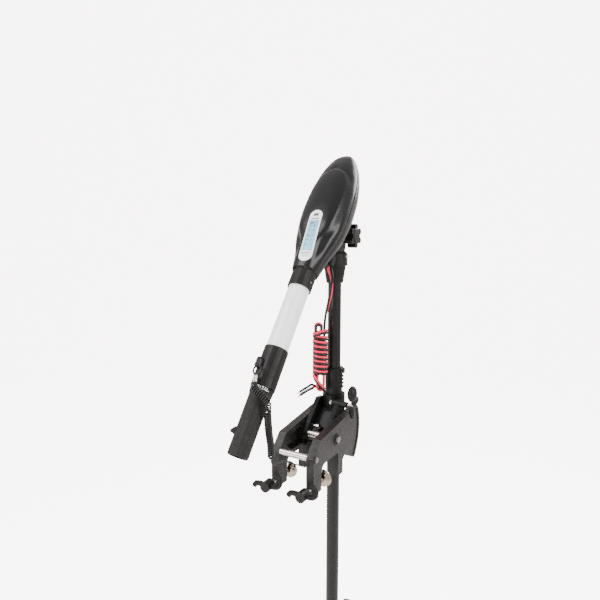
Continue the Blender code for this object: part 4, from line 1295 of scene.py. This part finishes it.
def make_wing_knob():
    """The collar's thumb knob: a fat upper paddle, a flared rear ear and a short lower one."""
    bm = bmesh.new()
    y, z = TENSION_AXIS
    lathe(
        bm,
        [(0.0036, 0.049), (0.0062, 0.049), (0.0085, 0.0525), (0.0095, 0.0580), (0.0080, 0.0640), (0, 0.0650)],
        axes((0, y, z), (1, 0, 0)),
        32,
    )
    lobe(bm, (0.0586, y - 0.0010, z + 0.0262), (0.0098, 0.0132, 0.0172), math.radians(-6))
    lobe(bm, (0.0580, y + 0.0140, z + 0.0060), (0.0068, 0.0155, 0.0066), math.radians(24))
    lobe(bm, (0.0570, y + 0.0020, z - 0.0145), (0.0060, 0.0070, 0.0165), math.radians(14))
    knob = from_bmesh("thumb_knob", bm, "tension_wing", M["black_nylon"], 40)
    knit = knob.modifiers.new("Remesh", "REMESH")
    knit.mode, knit.voxel_size, knit.use_smooth_shade = "VOXEL", 0.0007, True
    smooth = knob.modifiers.new("Smooth", "SMOOTH")
    smooth.iterations, smooth.factor = 8, 0.5
    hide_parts("tension_knob")


TILT_PIVOT = (0.0206, 0.0306)


def fan_points(radius, start, end, steps):
    points = []
    for i in range(steps + 1):
        a = math.radians(start + (end - start) * i / steps)
        points.append((TILT_PIVOT[0] + radius * math.cos(a), TILT_PIVOT[1] + radius * math.sin(a)))
    return points


def slab(bm, outline, x_low, x_high):
    """Adds an outline in Y and Z as a flat plate between two X values."""
    a = [bm.verts.new((x_low, y, z)) for y, z in outline]
    b = [bm.verts.new((x_high, y, z)) for y, z in outline]
    bm.faces.new(a)
    bm.faces.new(b)
    for i in range(len(outline)):
        j = (i + 1) % len(outline)
        bm.faces.new((a[i], a[j], b[j], b[i]))


def make_cheek_rims():
    """The raised rim that runs round each side casting's outer face, and the washer rings at its bolts."""
    for word, side in (("right", 1), ("left", -1)):
        bm = bmesh.new()
        low, high = sorted((side * 0.0474, side * 0.0497))
        outer = fan_points(0.1095, -39, 21, 16)
        inner = fan_points(0.1015, 21, -39, 16)
        slab(bm, outer + inner, low, high)
        rim = from_bmesh(f"fan_rim_{word}", bm, "bracket", M["cast_alloy"], 30)
        soften(rim, 0.0009, 2)
        bm = bmesh.new()
        for (y, z), radius in ((TILT_PIVOT, 0.0125), ((-0.0685, 0.0210), 0.0085)):
            at = axes((side * 0.0476, y, z), (side, 0, 0))
            lathe(
                bm,
                [
                    (radius, 0.0),
                    (radius - 0.0008, 0.0022),
                    (radius - 0.0022, 0.0024),
                    (radius - 0.0034, 0.0012),
                    (radius - 0.0036, 0.0),
                ],
                at,
                40,
            )
        from_bmesh(f"bolt_seats_{word}", bm, "bracket", M["cast_alloy"], 30)


make_camera()
make_studio()
dress_frame()
polish_frame()
make_lead()
make_lanyard()
make_head()
make_dial()
make_grip()
make_key()
make_wing_knob()
make_cheek_rims()
